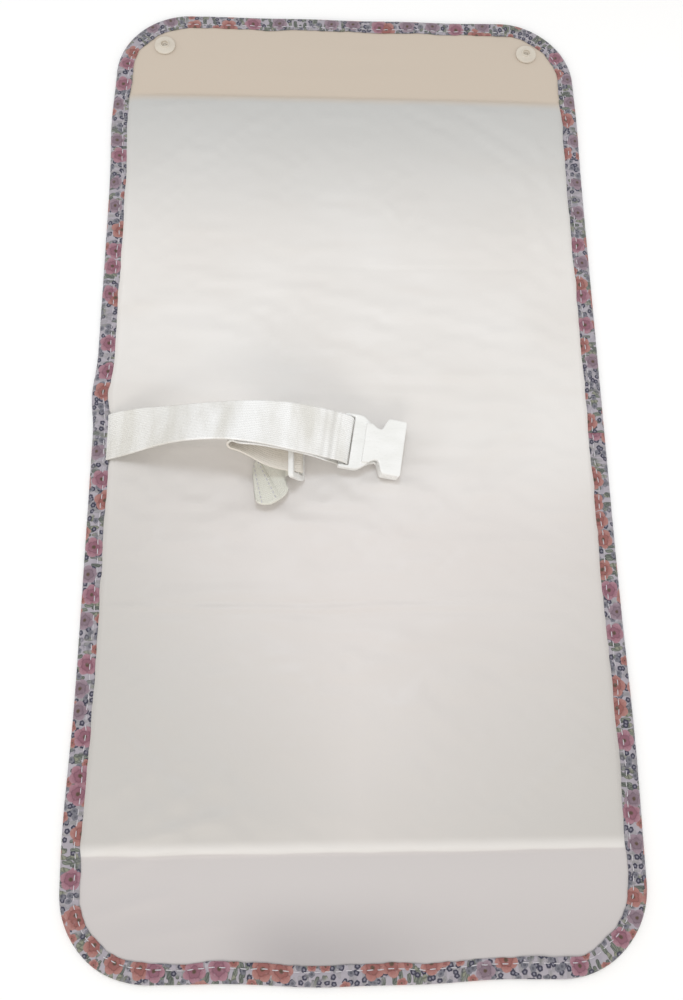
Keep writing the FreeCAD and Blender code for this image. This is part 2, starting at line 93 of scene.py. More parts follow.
def area_light(name, place, target, size, power, colour):
    data = bpy.data.lights.new(name, "AREA")
    data.shape = "RECTANGLE"
    data.size, data.size_y = size
    data.energy = power
    data.color = colour
    light = bpy.data.objects.new(name, data)
    light.location = place
    light.rotation_euler = (Vector(target) - Vector(place)).to_track_quat("-Z", "Y").to_euler()
    bpy.context.scene.collection.objects.link(light)


# the lights: name, place, what it points at, its two sides in metres, watts and colour
LIGHTS = (
    ("key", (-0.04, 0.1, 0.75), (0, 0, 0), (0.14, 0.14), 1.0, (0.86, 0.95, 1.06)),
    ("side", (-0.9, 0.4, 0.45), (0, 0, 0), (0.5, 0.5), 1.1, (0.98, 0.99, 1.0)),
    ("fill", (-0.2, -1.5, 0.95), (0, 0, 0), (1.0, 0.6), 7.0, (1.0, 0.95, 0.89)),
    ("gloss", (0.62, 0.2, 0.24), (-0.02, 0, 0.04), (0.2, 0.3), 0.35, (1.0, 1.0, 1.0)),
)


def make_studio():
    world = bpy.data.worlds.new("studio")
    bpy.context.scene.world = world
    world.use_nodes = True
    sky = world.node_tree.nodes["Background"]
    sky.inputs["Color"].default_value = (1.0, 0.985, 0.96, 1)
    sky.inputs["Strength"].default_value = 0.75
    for light in LIGHTS:
        area_light(*light)
    bpy.context.scene.view_settings.view_transform = "Standard"


# ---------------------------------------------------------------- material building


def linear(red, green, blue):
    """A colour given as 8-bit display values, as the shader wants it."""
    made = []
    for level in (red, green, blue):
        share = level / 255
        made.append(share / 12.92 if share <= 0.04045 else ((share + 0.055) / 1.055) ** 2.4)
    return (*made, 1.0)


class Shade:
    """A node material, with short calls for the nodes it is built from."""

    def __init__(self, name, **finish):
        self.material = bpy.data.materials.new(name)
        self.material.use_nodes = True
        self.tree = self.material.node_tree
        self.shader = self.tree.nodes["Principled BSDF"]
        for socket, number in finish.items():
            self.shader.inputs[socket.replace("_", " ")].default_value = number
        self.relief = None

    def put(self, socket, value):
        if isinstance(value, bpy.types.NodeSocket):
            self.tree.links.new(value, socket)
        else:
            socket.default_value = value

    def node(self, kind, inputs=(), **settings):
        made = self.tree.nodes.new(kind)
        for key, value in settings.items():
            setattr(made, key, value)
        for key, value in dict(inputs).items():
            self.put(made.inputs[key], value)
        return made

    def math(self, operation, *values):
        made = self.node("ShaderNodeMath", operation=operation)
        for socket, value in zip(made.inputs, values):
            self.put(socket, value)
        return made.outputs[0]

    def times(self, first, second):
        return self.math("MULTIPLY", first, second)

    def minus(self, first, second):
        return self.math("SUBTRACT", first, second)

    def magnitude(self, value):
        return self.math("ABSOLUTE", value)

    def ramp(self, value, low, high, to_low=0.0, to_high=1.0):
        """Eases a value from to_low to to_high as it passes from low to high."""
        names = ("Value", "From Min", "From Max", "To Min", "To Max")
        inputs = zip(names, (value, low, high, to_low, to_high))
        made = self.node("ShaderNodeMapRange", inputs, interpolation_type="SMOOTHSTEP")
        return made.outputs["Result"]

    def mix(self, share, first, second):
        made = self.node("ShaderNodeMix", data_type="RGBA")
        for key, value in (("Factor_Float", share), ("A_Color", first), ("B_Color", second)):
            socket = next(s for s in made.inputs if s.identifier == key)
            self.put(socket, value)
        return next(s for s in made.outputs if s.identifier == "Result_Color")

    def toward(self, base, colour, value, low, high, most=1.0):
        """Mixes base with a colour, by up to most, as a value passes from low to high."""
        return self.mix(self.ramp(value, low, high, 0.0, most), base, colour)

    def flat_coordinates(self):
        """The cloth's own flat coordinates in metres, which stay with it when it folds."""
        return self.node("ShaderNodeUVMap", uv_map="flat").outputs["UV"]

    def scaled(self, vector, scale, offset=(0, 0, 0), turn=0.0):
        inputs = {"Vector": vector, "Scale": scale, "Location": offset, "Rotation": (0, 0, turn)}
        return self.node("ShaderNodeMapping", inputs).outputs["Vector"]

    def noise(self, vector, size, detail=2.0, roughness=0.5):
        """Noise whose blotches are about size metres across."""
        inputs = {"Vector": vector, "Scale": 1 / size, "Detail": detail, "Roughness": roughness}
        return self.node("ShaderNodeTexNoise", inputs).outputs["Fac"]

    def wave(self, coordinate, pitch):
        """A 0 to 1 wave of that pitch along one coordinate in metres."""
        sine = self.math("SINE", self.times(coordinate, 2 * math.pi / pitch))
        return self.math("MULTIPLY_ADD", sine, 0.5, 0.5)

    def split(self, vector):
        made = self.node("ShaderNodeSeparateXYZ", {"Vector": vector})
        return made.outputs["X"], made.outputs["Y"]

    def weave(self, vector, pitch):
        """The height of a plain weave: threads that pass over and under each other."""
        x, y = self.split(vector)
        over = self.wave(x, 2 * pitch)
        under = self.wave(y, 2 * pitch)
        crossed = self.magnitude(self.minus(over, under))
        threads = self.times(self.wave(x, pitch), self.wave(y, pitch))
        return self.math("MULTIPLY_ADD", crossed, 0.6, self.times(threads, 0.4))

    def bump(self, height, distance, strength=1.0):
        """Adds one layer of relief, distance metres high, to the shader's normal."""
        inputs = {"Height": height, "Distance": distance, "Strength": strength}
        made = self.node("ShaderNodeBump", inputs)
        if self.relief is not None:
            self.put(made.inputs["Normal"], self.relief)
        self.relief = made.outputs["Normal"]
        self.put(self.shader.inputs["Normal"], self.relief)

    def colour(self, value):
        self.put(self.shader.inputs["Base Color"], value)

    def roughness(self, value):
        self.put(self.shader.inputs["Roughness"], value)


# ---------------------------------------------------------------- the materials


def sheet_material():
    """White laminated cloth: satin, whiter over the padding than where the lining shows through."""
    shade = Shade("wipe_clean_sheet", Specular_IOR_Level=0.42, Sheen_Weight=0.08)
    flat = shade.flat_coordinates()
    x, y = shade.split(flat)
    waver = shade.math("MULTIPLY_ADD", shade.noise(flat, 40 * MM), 2.4 * MM, -1.2 * MM)
    lower_strip = shade.ramp(shade.minus(waver, y), 247.6 * MM, 249.2 * MM)
    upper_strip = shade.ramp(shade.math("ADD", waver, y), 240 * MM, 250.5 * MM)
    unpadded = shade.math("MAXIMUM", lower_strip, upper_strip)
    top_end = shade.ramp(y, 0.0, 0.1)
    strip = shade.mix(top_end, linear(202, 197, 196), linear(201, 188, 173))
    # painted shade: the lower strip greyer in its middle, towards the lower tape
    by_tape = shade.ramp(y, -262 * MM, -308 * MM)
    low_middle = shade.times(shade.ramp(x, -88 * MM, -32 * MM), shade.ramp(x, 84 * MM, -30 * MM))
    tape_shade = shade.times(by_tape, shade.math("MULTIPLY_ADD", low_middle, 0.72, 0.2))
    strip = shade.mix(tape_shade, strip, linear(172, 167, 168))
    clouds = shade.noise(flat, 90 * MM, 3.0)
    padded = shade.mix(shade.ramp(clouds, 0.3, 0.7), linear(223, 219, 215), linear(228, 225, 222))
    bands = shade.noise(shade.scaled(flat, (0.25, 1.0, 1.0)), 34 * MM, 2.0)
    padded = shade.toward(padded, linear(216, 209, 202), bands, 0.52, 0.74, 0.3)
    # painted shade: the padding darker towards its upper end
    padded = shade.toward(padded, linear(190, 190, 188), y, 105 * MM, 252 * MM, 0.9)
    # painted shade: the padding darker below its middle
    padded = shade.toward(padded, linear(216, 209, 206), y, 10 * MM, -80 * MM, 0.65)
    # painted shade: darker towards the sides and the lower end, the left side more than the right
    lopsided = shade.minus(shade.magnitude(x), shade.times(x, 0.32))
    near_edges = shade.minus(lopsided, y)
    padded = shade.toward(padded, linear(196, 193, 189), near_edges, 80 * MM, 365 * MM, 0.92)
    # painted light: a lighter band over the slope where the padding ends at the lower strip, against the
    # slope's shading
    down_slope = shade.ramp(y, -240 * MM, -247 * MM)
    near_slope = shade.times(down_slope, shade.ramp(y, -252 * MM, -248 * MM))
    padded = shade.mix(near_slope, padded, linear(222, 219, 216))
    base = shade.mix(unpadded, padded, strip)
    speckle = shade.noise(flat, 1.6 * MM, 2.0)
    base = shade.toward(base, linear(214, 208, 200), speckle, 0.62, 0.8, 0.12)
    shade.colour(base)
    shade.roughness(shade.ramp(shade.noise(flat, 25 * MM, 3.0), 0.3, 0.7, 0.40, 0.52))
    shade.bump(shade.noise(flat, 14 * MM, 3.0), 0.5 * MM, 0.35)
    shade.bump(shade.weave(flat, 0.45 * MM), 0.03 * MM, 0.5)
    return shade.material


def motif(shade, vector, cell, seed):
    """Scatters places over the cloth: each point's distance and angle from its nearest place, and
    three random numbers of that place."""
    moved = shade.scaled(vector, (1, 1, 1), (seed * 0.37, seed * 0.21, 0))
    inputs = {"Vector": moved, "Scale": 1 / cell, "Randomness": 0.85}
    cells = shade.node("ShaderNodeTexVoronoi", inputs, voronoi_dimensions="2D")
    offset = shade.node("ShaderNodeVectorMath", operation="SUBTRACT")
    shade.put(offset.inputs[0], moved)
    shade.put(offset.inputs[1], cells.outputs["Position"])
    x, y = shade.split(offset.outputs[0])
    chance = shade.node("ShaderNodeSeparateColor", {"Color": cells.outputs["Color"]})
    reach = shade.times(cells.outputs["Distance"], cell)
    turn = shade.math("ADD", shade.math("ARCTAN2", y, x), shade.times(chance.outputs[0], 6.28))
    return reach, turn, (x, y), [chance.outputs[index] for index in range(3)]


def petals(shade, reach, turn, radius, count, depth):
    """1 inside a round bloom with that many petals, 0 outside."""
    lobes = shade.magnitude(shade.math("COSINE", shade.times(turn, count / 2)))
    edge = shade.math("MULTIPLY_ADD", lobes, radius * depth, radius * (1 - depth))
    return shade.ramp(shade.minus(reach, edge), 0.25 * MM, -0.25 * MM)


def between(shade, value, low, high):
    """1 where a random number lies between two limits."""
    above = shade.math("GREATER_THAN", value, low)
    return shade.times(above, shade.math("LESS_THAN", value, high))


def bloom(shade, base, spot, pick, radius, tones):
    """Paints a shaded bloom of five petals, with an inner ring of petals and a brown heart."""
    reach, turn, _, chance = spot
    pale, mid, dark = tones
    inside = petals(shade, reach, turn, radius, 5, 0.2)
    blotches = shade.math("MULTIPLY_ADD", shade.noise(shade.flat_coordinates(), 1.3 * MM), 0.9, -0.2)
    face = shade.mix(shade.math("ADD", shade.ramp(reach, radius, radius * 0.2), blotches), pale, mid)
    gap = shade.ramp(shade.magnitude(shade.math("COSINE", shade.times(turn, 2.5))), 0.3, 0.0)
    face = shade.mix(shade.times(gap, 0.35), face, dark)
    inner = petals(shade, reach, shade.math("ADD", turn, 0.63), radius * 0.62, 5, 0.22)
    inner_face = petals(shade, reach, shade.math("ADD", turn, 0.63), radius * 0.52, 5, 0.22)
    face = shade.mix(shade.times(inner, 0.5), face, dark)
    face = shade.mix(shade.times(inner_face, 0.8), face, mid)
    face = shade.toward(face, linear(96, 78, 62), reach, radius * 0.26, radius * 0.1)
    chosen = shade.times(inside, between(shade, chance[1], *pick))
    return shade.mix(chosen, base, face)


def print_colour(shade, flat):
    """A small floral print: clusters of florets, sprays of leaves, and blooms of three colours."""
    waver = shade.node("ShaderNodeTexNoise", {"Vector": flat, "Scale": 1 / (5 * MM), "Detail": 1.0})
    drift = shade.node("ShaderNodeVectorMath", operation="MULTIPLY_ADD")
    shade.put(drift.inputs[0], waver.outputs["Color"])
    drift.inputs[1].default_value = (1.2 * MM, 1.2 * MM, 0)
    shade.put(drift.inputs[2], flat)
    cloth = drift.outputs[0]
    colour = shade.mix(shade.noise(flat, 7 * MM), linear(168, 164, 175), linear(204, 200, 208))
    florets_here = shade.ramp(shade.noise(flat, 24 * MM, 1.0), 0.44, 0.54)

    # leaves: pointed, with a darker vein and edge, lying several ways
    leaves_here = shade.minus(1.0, shade.times(florets_here, 0.75))
    for seed, lean, tones in (
        (3, 0.7, (linear(122, 130, 120), linear(74, 82, 76))),
        (5, -0.6, (linear(136, 144, 132), linear(84, 92, 84))),
        (9, 1.7, (linear(152, 156, 138), linear(94, 100, 86))),
        (11, 2.4, (linear(112, 120, 112), linear(70, 78, 72))),
    ):
        leaning = shade.scaled(cloth, (1.0, 0.42, 1.0), (0, 0, 0), lean)
        reach, _, (across, along), chance = motif(shade, leaning, 4.4 * MM, seed)
        taper = shade.times(shade.times(along, along), 0.6 / MM)
        aside = shade.math("ADD", shade.magnitude(across), taper)
        inside = shade.ramp(aside, 1.4 * MM, 1.1 * MM)
        chosen = shade.times(inside, between(shade, chance[0], 0.1, 0.85))
        chosen = shade.times(chosen, leaves_here)
        edge = shade.ramp(aside, 0.8 * MM, 1.1 * MM)
        vein = shade.ramp(shade.magnitude(across), 0.3 * MM, 0.1 * MM)
        face = shade.mix(shade.times(shade.math("MAXIMUM", edge, vein), 0.75), *tones)
        colour = shade.mix(chosen, colour, face)

    # florets: a dark ring round a paler middle
    for seed, cell, radius, share, tones in (
        (1, 4.2 * MM, 1.65 * MM, 0.85, (linear(138, 138, 152), linear(58, 60, 80))),
        (7, 4.9 * MM, 1.9 * MM, 0.5, (linear(96, 98, 108), linear(128, 130, 140))),
    ):
        reach, turn, _, chance = motif(shade, cloth, cell, seed)
        inside = petals(shade, reach, turn, radius, 5, 0.14)
        ring = shade.ramp(reach, radius * 0.25, radius * 0.5)
        chosen = shade.times(inside, between(shade, chance[1], 0.0, share))
        strays = between(shade, chance[2], 0, 0.3)
        chosen = shade.times(chosen, shade.math("MAXIMUM", florets_here, strays))
        colour = shade.mix(chosen, colour, shade.mix(ring, *tones))

    # buds and blooms
    coral = (linear(194, 146, 138), linear(168, 108, 102), linear(112, 70, 66))
    pink = (linear(188, 146, 158), linear(158, 108, 124), linear(108, 68, 82))
    mauve = (linear(172, 154, 166), linear(144, 124, 136), linear(98, 82, 94))
    buds = motif(shade, cloth, 10.5 * MM, 13)
    colour = bloom(shade, colour, buds, (0.0, 0.22), 3.0 * MM, coral)
    spot = motif(shade, cloth, 14.5 * MM, 2)
    colour = bloom(shade, colour, spot, (0.0, 0.32), 6.6 * MM, coral)
    colour = bloom(shade, colour, spot, (0.32, 0.52), 6.2 * MM, pink)
    colour = bloom(shade, colour, spot, (0.52, 0.72), 5.6 * MM, mauve)
    return colour


def printed_cloth_material(name, thread_pitch):
    """Printed cotton: the floral print, a plain weave and a soft sheen."""
    shade = Shade(name, Roughness=0.86, Specular_IOR_Level=0.22, Sheen_Weight=0.25, Sheen_Roughness=0.5)
    flat = shade.flat_coordinates()
    colour = print_colour(shade, flat)
    weave = shade.weave(flat, thread_pitch)
    # painted shade: darker in the hollows between the threads of the weave
    colour = shade.mix(shade.ramp(weave, 0.0, 0.5, 0.22, 0.0), colour, linear(120, 112, 118))
    worn = shade.ramp(shade.noise(flat, 2 * MM, 4.0, 0.7), 0.5, 0.8, 0.0, 0.28)
    colour = shade.mix(worn, colour, linear(204, 200, 206))
    # duller all over, and painted shade towards the upper end of the back sheet: darker and yellower there
    _, y = shade.split(flat)
    tint = shade.mix(shade.ramp(y, 150 * MM, 285 * MM), (0.82, 0.8, 0.8, 1), (0.66, 0.6, 0.5, 1))
    tinted = shade.node("ShaderNodeVectorMath", operation="MULTIPLY")
    shade.put(tinted.inputs[0], colour)
    shade.put(tinted.inputs[1], tint)
    shade.colour(tinted.outputs[0])
    shade.bump(shade.noise(flat, 4 * MM, 3.0), 0.3 * MM, 0.5)
    shade.bump(weave, 0.09 * MM, 0.8)
    return shade.material


def webbing_material():
    """Glossy white woven nylon, ribbed along its length and crossed by fine weft threads."""
    shade = Shade(
        "webbing",
        Specular_IOR_Level=0.55,
        Sheen_Weight=0.15,
        Sheen_Roughness=0.3,
        Coat_Weight=0.12,
        Coat_Roughness=0.3,
    )
    flat = shade.flat_coordinates()
    along, across = shade.split(flat)
    ribs = shade.wave(across, 1.25 * MM)
    crossed = shade.math("MULTIPLY_ADD", shade.wave(across, 2.5 * MM), 0.5, 0)
    shifted = shade.math("MULTIPLY_ADD", crossed, 1.1 * MM, along)
    weft = shade.wave(shifted, 0.95 * MM)
    height = shade.math("MULTIPLY_ADD", weft, 0.45, shade.times(ribs, 0.55))
    # painted shade: darker in the hollows between the ribs and the weft threads
    tone = shade.mix(shade.ramp(height, 0.1, 0.6), linear(232, 231, 229), linear(254, 254, 253))
    # painted shade: soft darker bands on the webbing, standing in for the shading of its gentle bends
    shade_bands = shade.ramp(shade.noise(shade.scaled(flat, (1.0, 0.3, 1.0)), 17 * MM, 2.0), 0.4, 0.66, 0.0, 0.75)
    tone = shade.mix(shade_bands, tone, linear(218, 215, 207))
    # painted shade: darker towards the sewn end, where the webbing rises and turns away from the light
    tone = shade.toward(tone, linear(214, 211, 203), along, 92 * MM, 62 * MM, 0.45)
    # creased across where it nears the buckle, with painted shade in the creases, and duller underneath and
    # on the tail, which is painted shade too
    creased = shade.ramp(along, CREASE_START, CREASE_START + 5 * MM)
    creased = shade.times(creased, shade.ramp(along, CREASE_END, CREASE_END - 2 * MM))
    creases = shade.times(creased, shade.wave(along, CREASE_PITCH))
    tone = shade.mix(shade.times(creases, 0.5), tone, linear(206, 204, 199))
    # painted shade: the underside run beige, as it lies in shade under the loop
    turned = UNDERSIDE_START + 6 * MM
    tone = shade.toward(tone, linear(222, 213, 199), along, UNDERSIDE_START, turned, 0.75)
    # painted shade: the tail greyer and greener, as its face lies in shade
    tail = shade.ramp(along, TAIL_START, TAIL_START + 8 * MM, 0.0, 0.6)
    shade.colour(shade.mix(tail, tone, linear(224, 227, 217)))
    shade.roughness(shade.ramp(shade.noise(flat, 6 * MM, 2.0), 0.3, 0.7, 0.22, 0.36))
    shade.bump(height, 0.24 * MM, 1.0)
    return shade.material


def thread_material():
    """White polyester thread, with the slant of its twist."""
    shade = Shade("thread", Roughness=0.5, Specular_IOR_Level=0.4, Sheen_Weight=0.3)
    flat = shade.flat_coordinates()
    along, across = shade.split(flat)
    twist = shade.wave(shade.math("ADD", along, across), 0.5 * MM)
    # painted shade: darker in the grooves of the twist
    shade.colour(shade.mix(twist, linear(184, 181, 187), linear(220, 217, 222)))
    shade.bump(twist, 0.08 * MM, 0.8)
    return shade.material


def foam_material():
    """Off-white polyester wadding: soft fibres with slightly uneven colour."""
    shade = Shade("padding", Roughness=0.95, Specular_IOR_Level=0.15, Sheen_Weight=0.4)
    place = shade.node("ShaderNodeTexCoord").outputs["Object"]
    fibres = shade.noise(place, 1.2 * MM, 5.0, 0.7)
    shade.colour(shade.mix(fibres, linear(222, 218, 210), linear(246, 244, 240)))
    shade.bump(fibres, 0.4 * MM, 0.8)
    return shade.material


def plastic_material(name, pale, shaded, roughness):
    """Moulded white plastic: a faint flow mottle, fine scuffs and an uneven gloss."""
    shade = Shade(name, Specular_IOR_Level=0.5, Coat_Weight=0.15, Coat_Roughness=0.2)
    place = shade.node("ShaderNodeTexCoord").outputs["Object"]
    flow = shade.noise(shade.scaled(place, (0.4, 1.0, 1.0)), 9 * MM, 3.0)
    scuffs = shade.noise(shade.scaled(place, (0.2, 1.0, 1.0)), 0.7 * MM, 4.0, 0.7)
    tone = shade.mix(shade.ramp(flow, 0.35, 0.7), pale, shaded)
    shade.colour(shade.mix(shade.ramp(scuffs, 0.62, 0.8, 0.0, 0.15), tone, shaded))
    shade.roughness(shade.ramp(scuffs, 0.3, 0.8, roughness - 0.06, roughness + 0.14))
    shade.bump(flow, 0.05 * MM, 0.4)
    shade.bump(scuffs, 0.02 * MM, 0.5)
    return shade.material


def floor_material():
    shade = Shade("floor", Roughness=0.9, Specular_IOR_Level=0.1)
    place = shade.node("ShaderNodeTexCoord").outputs["Object"]
    shade.colour(shade.mix(shade.noise(place, 0.4), linear(254, 254, 254), linear(255, 255, 255)))
    return shade.material


# ---------------------------------------------------------------- shaping helpers


def ease(share):
    """A smooth step from 0 to 1."""
    share = np.clip(share, 0, 1)
    return share * share * (3 - 2 * share)


def cubic(share, start, start_slope, end, end_slope):
    """A smooth curve from start to end that leaves and arrives with the given slopes."""
    return (
        (2 * share**3 - 3 * share**2 + 1) * start
        + (share**3 - 2 * share**2 + share) * start_slope
        + (3 * share**2 - 2 * share**3) * end
        + (share**3 - share**2) * end_slope
    )


def soft_step(inside, step_share):
    """Rises from 0 to 1 like the edge of a soft pad: a small step, then a long swell."""
    step = ease(inside / (2.4 * MM))
    swell = 1 - np.exp(-np.maximum(inside, 0) / (10 * MM))
    return step_share * step + (1 - step_share) * swell


def ripple(x, y, wavelength, seed, stretch=(1.0, 1.0)):
    """Smooth random waves of about unit height, the same on every run."""
    draw = np.random.default_rng(seed)
    total = 0
    count = 10
    for _ in range(count):
        heading = draw.uniform(0, 2 * math.pi)
        rate = 2 * math.pi / wavelength * draw.uniform(0.6, 1.5)
        phase = draw.uniform(0, 2 * math.pi)
        run = x * stretch[0] * math.cos(heading) + y * stretch[1] * math.sin(heading)
        total = total + np.sin(rate * run + phase)
    return total / math.sqrt(count / 2)


def ridge(x, y, start, end, width):
    """A soft ridge of unit height along a line, fading out at both ends."""
    start = np.array(start) * MM
    run = np.array(end) * MM - start
    length = math.hypot(*run)
    along = ((x - start[0]) * run[0] + (y - start[1]) * run[1]) / length
    aside = ((x - start[0]) * run[1] - (y - start[1]) * run[0]) / length
    share = np.clip(along / length, 0, 1)
    fade = np.sin(share * math.pi) ** 0.7
    beyond = np.maximum(0, np.abs(along - length / 2) - length / 2)
    return fade * np.exp(-(aside / (width * MM)) ** 2 - (beyond / (4 * MM)) ** 2)


# where the pad's sides bulge out a little: hand, place along the side, bulge and half-length
BULGES = (
    (-1, 24, 2.2, 15),
    (-1, -236, 2.0, 48),
    (-1, 226, 1.6, 30),
    (1, -190, 1.3, 62),
    (1, 232, 0.7, 30),
)


def sway(points):
    """The slight waviness of the whole pad's outline, as it lies."""
    points = np.array(points, float)
    x, y = points[:, 0].copy(), points[:, 1].copy()
    for hand, place, bulge, reach in BULGES:
        near_side = ease(hand * x / HALF_WIDTH) ** 3
        points[:, 0] += hand * bulge * MM * near_side * np.exp(-((y - place * MM) / (reach * MM)) ** 2)
    # the ends draw in a little beside their middles, the lower one more
    by_end = ease((np.abs(y) - 252 * MM) / (50 * MM))
    beside = ease((np.abs(x) - 8 * MM) / (80 * MM)) * (1 - 0.7 * ease((np.abs(x) - 115 * MM) / (45 * MM)))
    drawn_in = np.where(y < 0, 1.2 + np.where(x < 0, 3.0, 1.7) * beside, 0.6)
    drawn_in = drawn_in + 0.2 * ripple(x, 0 * x, 90 * MM, 41)
    points[:, 1] -= np.sign(y) * MM * by_end * drawn_in
    return points


def piece(name, vertices, faces, material, flat=None, normals=None):
    """A mesh object from numpy vertices, smooth, with flat cloth coordinates where given."""
    data = bpy.data.meshes.new(name)
    data.from_pydata([tuple(v) for v in vertices], [], [tuple(int(i) for i in f) for f in faces])
    data.polygons.foreach_set("use_smooth", [True] * len(data.polygons))
    data.materials.append(material)
    if flat is not None:
        layer = data.uv_layers.new(name="flat")
        corners = np.zeros(len(data.loops), np.int32)
        data.loops.foreach_get("vertex_index", corners)
        layer.data.foreach_set("uv", np.asarray(flat, np.float32)[corners].ravel())
    data.update()
    if normals is not None:
        data.normals_split_custom_set_from_vertices([tuple(n) for n in normals])
    made = bpy.data.objects.new(name, data)
    bpy.context.scene.collection.objects.link(made)
    return made


def grid_faces(rows, columns, offset=0, flip=False, wrap=False):
    """Quads between neighbouring rows and columns of points; wrap joins the last column to the first."""
    row = np.arange(rows - 1)[:, None]
    column = np.arange(columns if wrap else columns - 1)[None, :]
    after = (column + 1) % columns
    a, b = row * columns + column, row * columns + after
    c, d = (row + 1) * columns + after, (row + 1) * columns + column
    quads = np.stack([a, b, c, d], axis=-1).reshape(-1, 4) + offset
    return quads[:, ::-1] if flip else quads


def thin_body(upper, lower, rows, columns):
    """Closes two grids of points, one above the other, into one solid."""
    count = rows * columns
    faces = [grid_faces(rows, columns), grid_faces(rows, columns, count, flip=True)]
    index = np.arange(count).reshape(rows, columns)
    border = np.concatenate([index[0, :], index[1:, -1], index[-1, -2::-1], index[-2:0:-1, 0]])
    after = np.roll(border, -1)
    faces.append(np.stack([border, border + count, after + count, after], axis=-1))
    return np.concatenate([upper, lower]), np.concatenate(faces)


def grid_points(x, y, z):
    return np.stack([x, y, z], axis=-1).reshape(-1, 3)


def grid_normals(points, rows, columns):
    """The upward normals of a grid of points."""
    block = points.reshape(rows, columns, 3)
    normals = np.cross(np.gradient(block, axis=1), np.gradient(block, axis=0))
    normals /= np.linalg.norm(normals, axis=-1, keepdims=True)
    return normals.reshape(-1, 3)


# ---------------------------------------------------------------- the pad's sheets and padding


def half_width_at(y, inset):
    """Half the pad's width at y, for the outline moved in by inset."""
    radius = CORNER - inset
    beyond = np.clip(np.abs(y) - (HALF_LENGTH - CORNER), 0, radius)
    return HALF_WIDTH - CORNER + np.sqrt(np.maximum(radius**2 - beyond**2, 0))


def sheet_grid(inset, x_step, y_step):
    """Flat points that fill the pad's outline, in rows along x with one row at y = 0."""
    end = HALF_LENGTH - inset
    rows = 2 * round(end / y_step) + 1
    columns = 2 * round((HALF_WIDTH - inset) / x_step) + 1
    y = np.linspace(-end, end, rows)[:, None] * np.ones(columns)
    x = np.linspace(-1, 1, columns)[None, :] * half_width_at(y, inset)
    return x, y


def padded_share(x, y):
    """0 on the flat rim and the end strips, 1 where the padding is full."""
    side = HALF_WIDTH - TAPE_WIDTH + 0.5 * MM - np.abs(x)
    end = PADDED_HALF_LENGTH - np.abs(y)
    return soft_step(side, 0.3) * soft_step(end, 0.14)


def edge_distance(x, y):
    """How far a point lies inside the pad's outline."""
    dx = np.abs(x) - (HALF_WIDTH - CORNER)
    dy = np.abs(y) - (HALF_LENGTH - CORNER)
    outside = np.hypot(np.maximum(dx, 0), np.maximum(dy, 0))
    return CORNER - outside - np.minimum(np.maximum(dx, dy), 0)


# soft ridges and dips of the top sheet: start, end, half-width and height, all in millimetres
FOLDS = (
    ((-158, -248), (-60, -226), 5.0, 1.2),
    ((-150, -262), (-92, -240), 4.0, 0.7),
    ((-140, -240), (-70, -205), 6.0, 0.7),
    ((-152, -225), (-100, -196), 5.0, 0.35),
    ((-150, -282), (-96, -268), 4.5, 0.8),
    ((-140, -296), (-60, -286), 5.0, 0.6),
    ((-40, -292), (60, -286), 6.0, 0.3),
    ((52, -40), (118, 12), 6.0, 0.5),
    ((62, -52), (130, -14), 5.0, 0.35),
    ((40, -22), (96, 26), 7.0, 0.3),
    ((20, 168), (36, 142), 3.5, 0.45),
    ((50, 170), (37, 142), 3.5, 0.4),
    ((112, 206), (132, 128), 5.0, 0.5),
    ((126, 230), (142, 160), 4.0, 0.4),
    ((120, 160), (140, 96), 5.0, 0.35),
    ((-140, 70), (-40, 62), 6.0, 0.35),
    ((-138, 48), (-60, 38), 6.0, 0.3),
    ((-120, 28), (-20, 24), 7.0, 0.25),
    ((-60, -62), (80, -72), 8.0, 0.3),
    ((-120, -80), (-20, -88), 7.0, 0.25),
    ((-100, -140), (20, -150), 9.0, 0.25),
    ((30, -180), (140, -190), 8.0, 0.25),
    ((-145, 234), (-90, 240), 4.0, 0.35),
    ((60, 240), (140, 232), 4.0, 0.3),
    ((-110, 262), (60, 270), 7.0, 0.3),
    ((-60, 292), (60, 288), 6.0, 0.3),
)


def top_wrinkles(x, y):
    """The height that wrinkles, creases and puckers add to the top sheet."""
    total = 0.28 * MM * ripple(x, y, 120 * MM, 21)
    total += 0.2 * MM * ripple(x, y, 46 * MM, 22, (0.22, 1.0))
    total += 0.05 * MM * ripple(x, y, 17 * MM, 23, (0.5, 1.0))
    for start, end, width, height in FOLDS:
        total += 1.9 * height * MM * ridge(x, y, start, end, width)
    # the double crease that is left from folding the lower end over, and the fainter upper one
    waver = 0.7 * MM * np.sin(x / (31 * MM)) + 0.4 * MM * np.sin(x / (13 * MM))
    lower_reach = 0.25 + 0.75 * ease((95 * MM - x) / (50 * MM))
    for place, depth, width in ((-109, 0.4, 1.7), (-115, 0.32, 1.9)):
        dip = np.exp(-((y - place * MM - waver) / (width * MM)) ** 2)
        total -= depth * MM * lower_reach * dip
    total += 0.35 * MM * lower_reach * np.exp(-((y + 112 * MM - waver) / (2.2 * MM)) ** 2)
    upper_reach = 0.3 + 0.7 * ease((x + 5 * MM) / (30 * MM)) * ease((120 * MM - x) / (20 * MM))
    total -= 0.35 * MM * upper_reach * np.exp(-((y - 113 * MM + waver) / (1.8 * MM)) ** 2)
    # puckers that run in from the stitched edge
    distance = edge_distance(x, y)
    along_side = ripple(x, y, 17 * MM, 24, (0.15, 1.0))
    along_end = ripple(x, y, 17 * MM, 25, (1.0, 0.15))
    by_end = ease((np.abs(y) - (HALF_LENGTH - CORNER) + 5 * MM) / (30 * MM))
    gathers = (1 - by_end) * along_side + by_end * along_end
    reach = np.exp(-np.maximum(distance - TAPE_WIDTH, 0) / (9 * MM))
    total += 0.22 * MM * gathers * reach
    return total


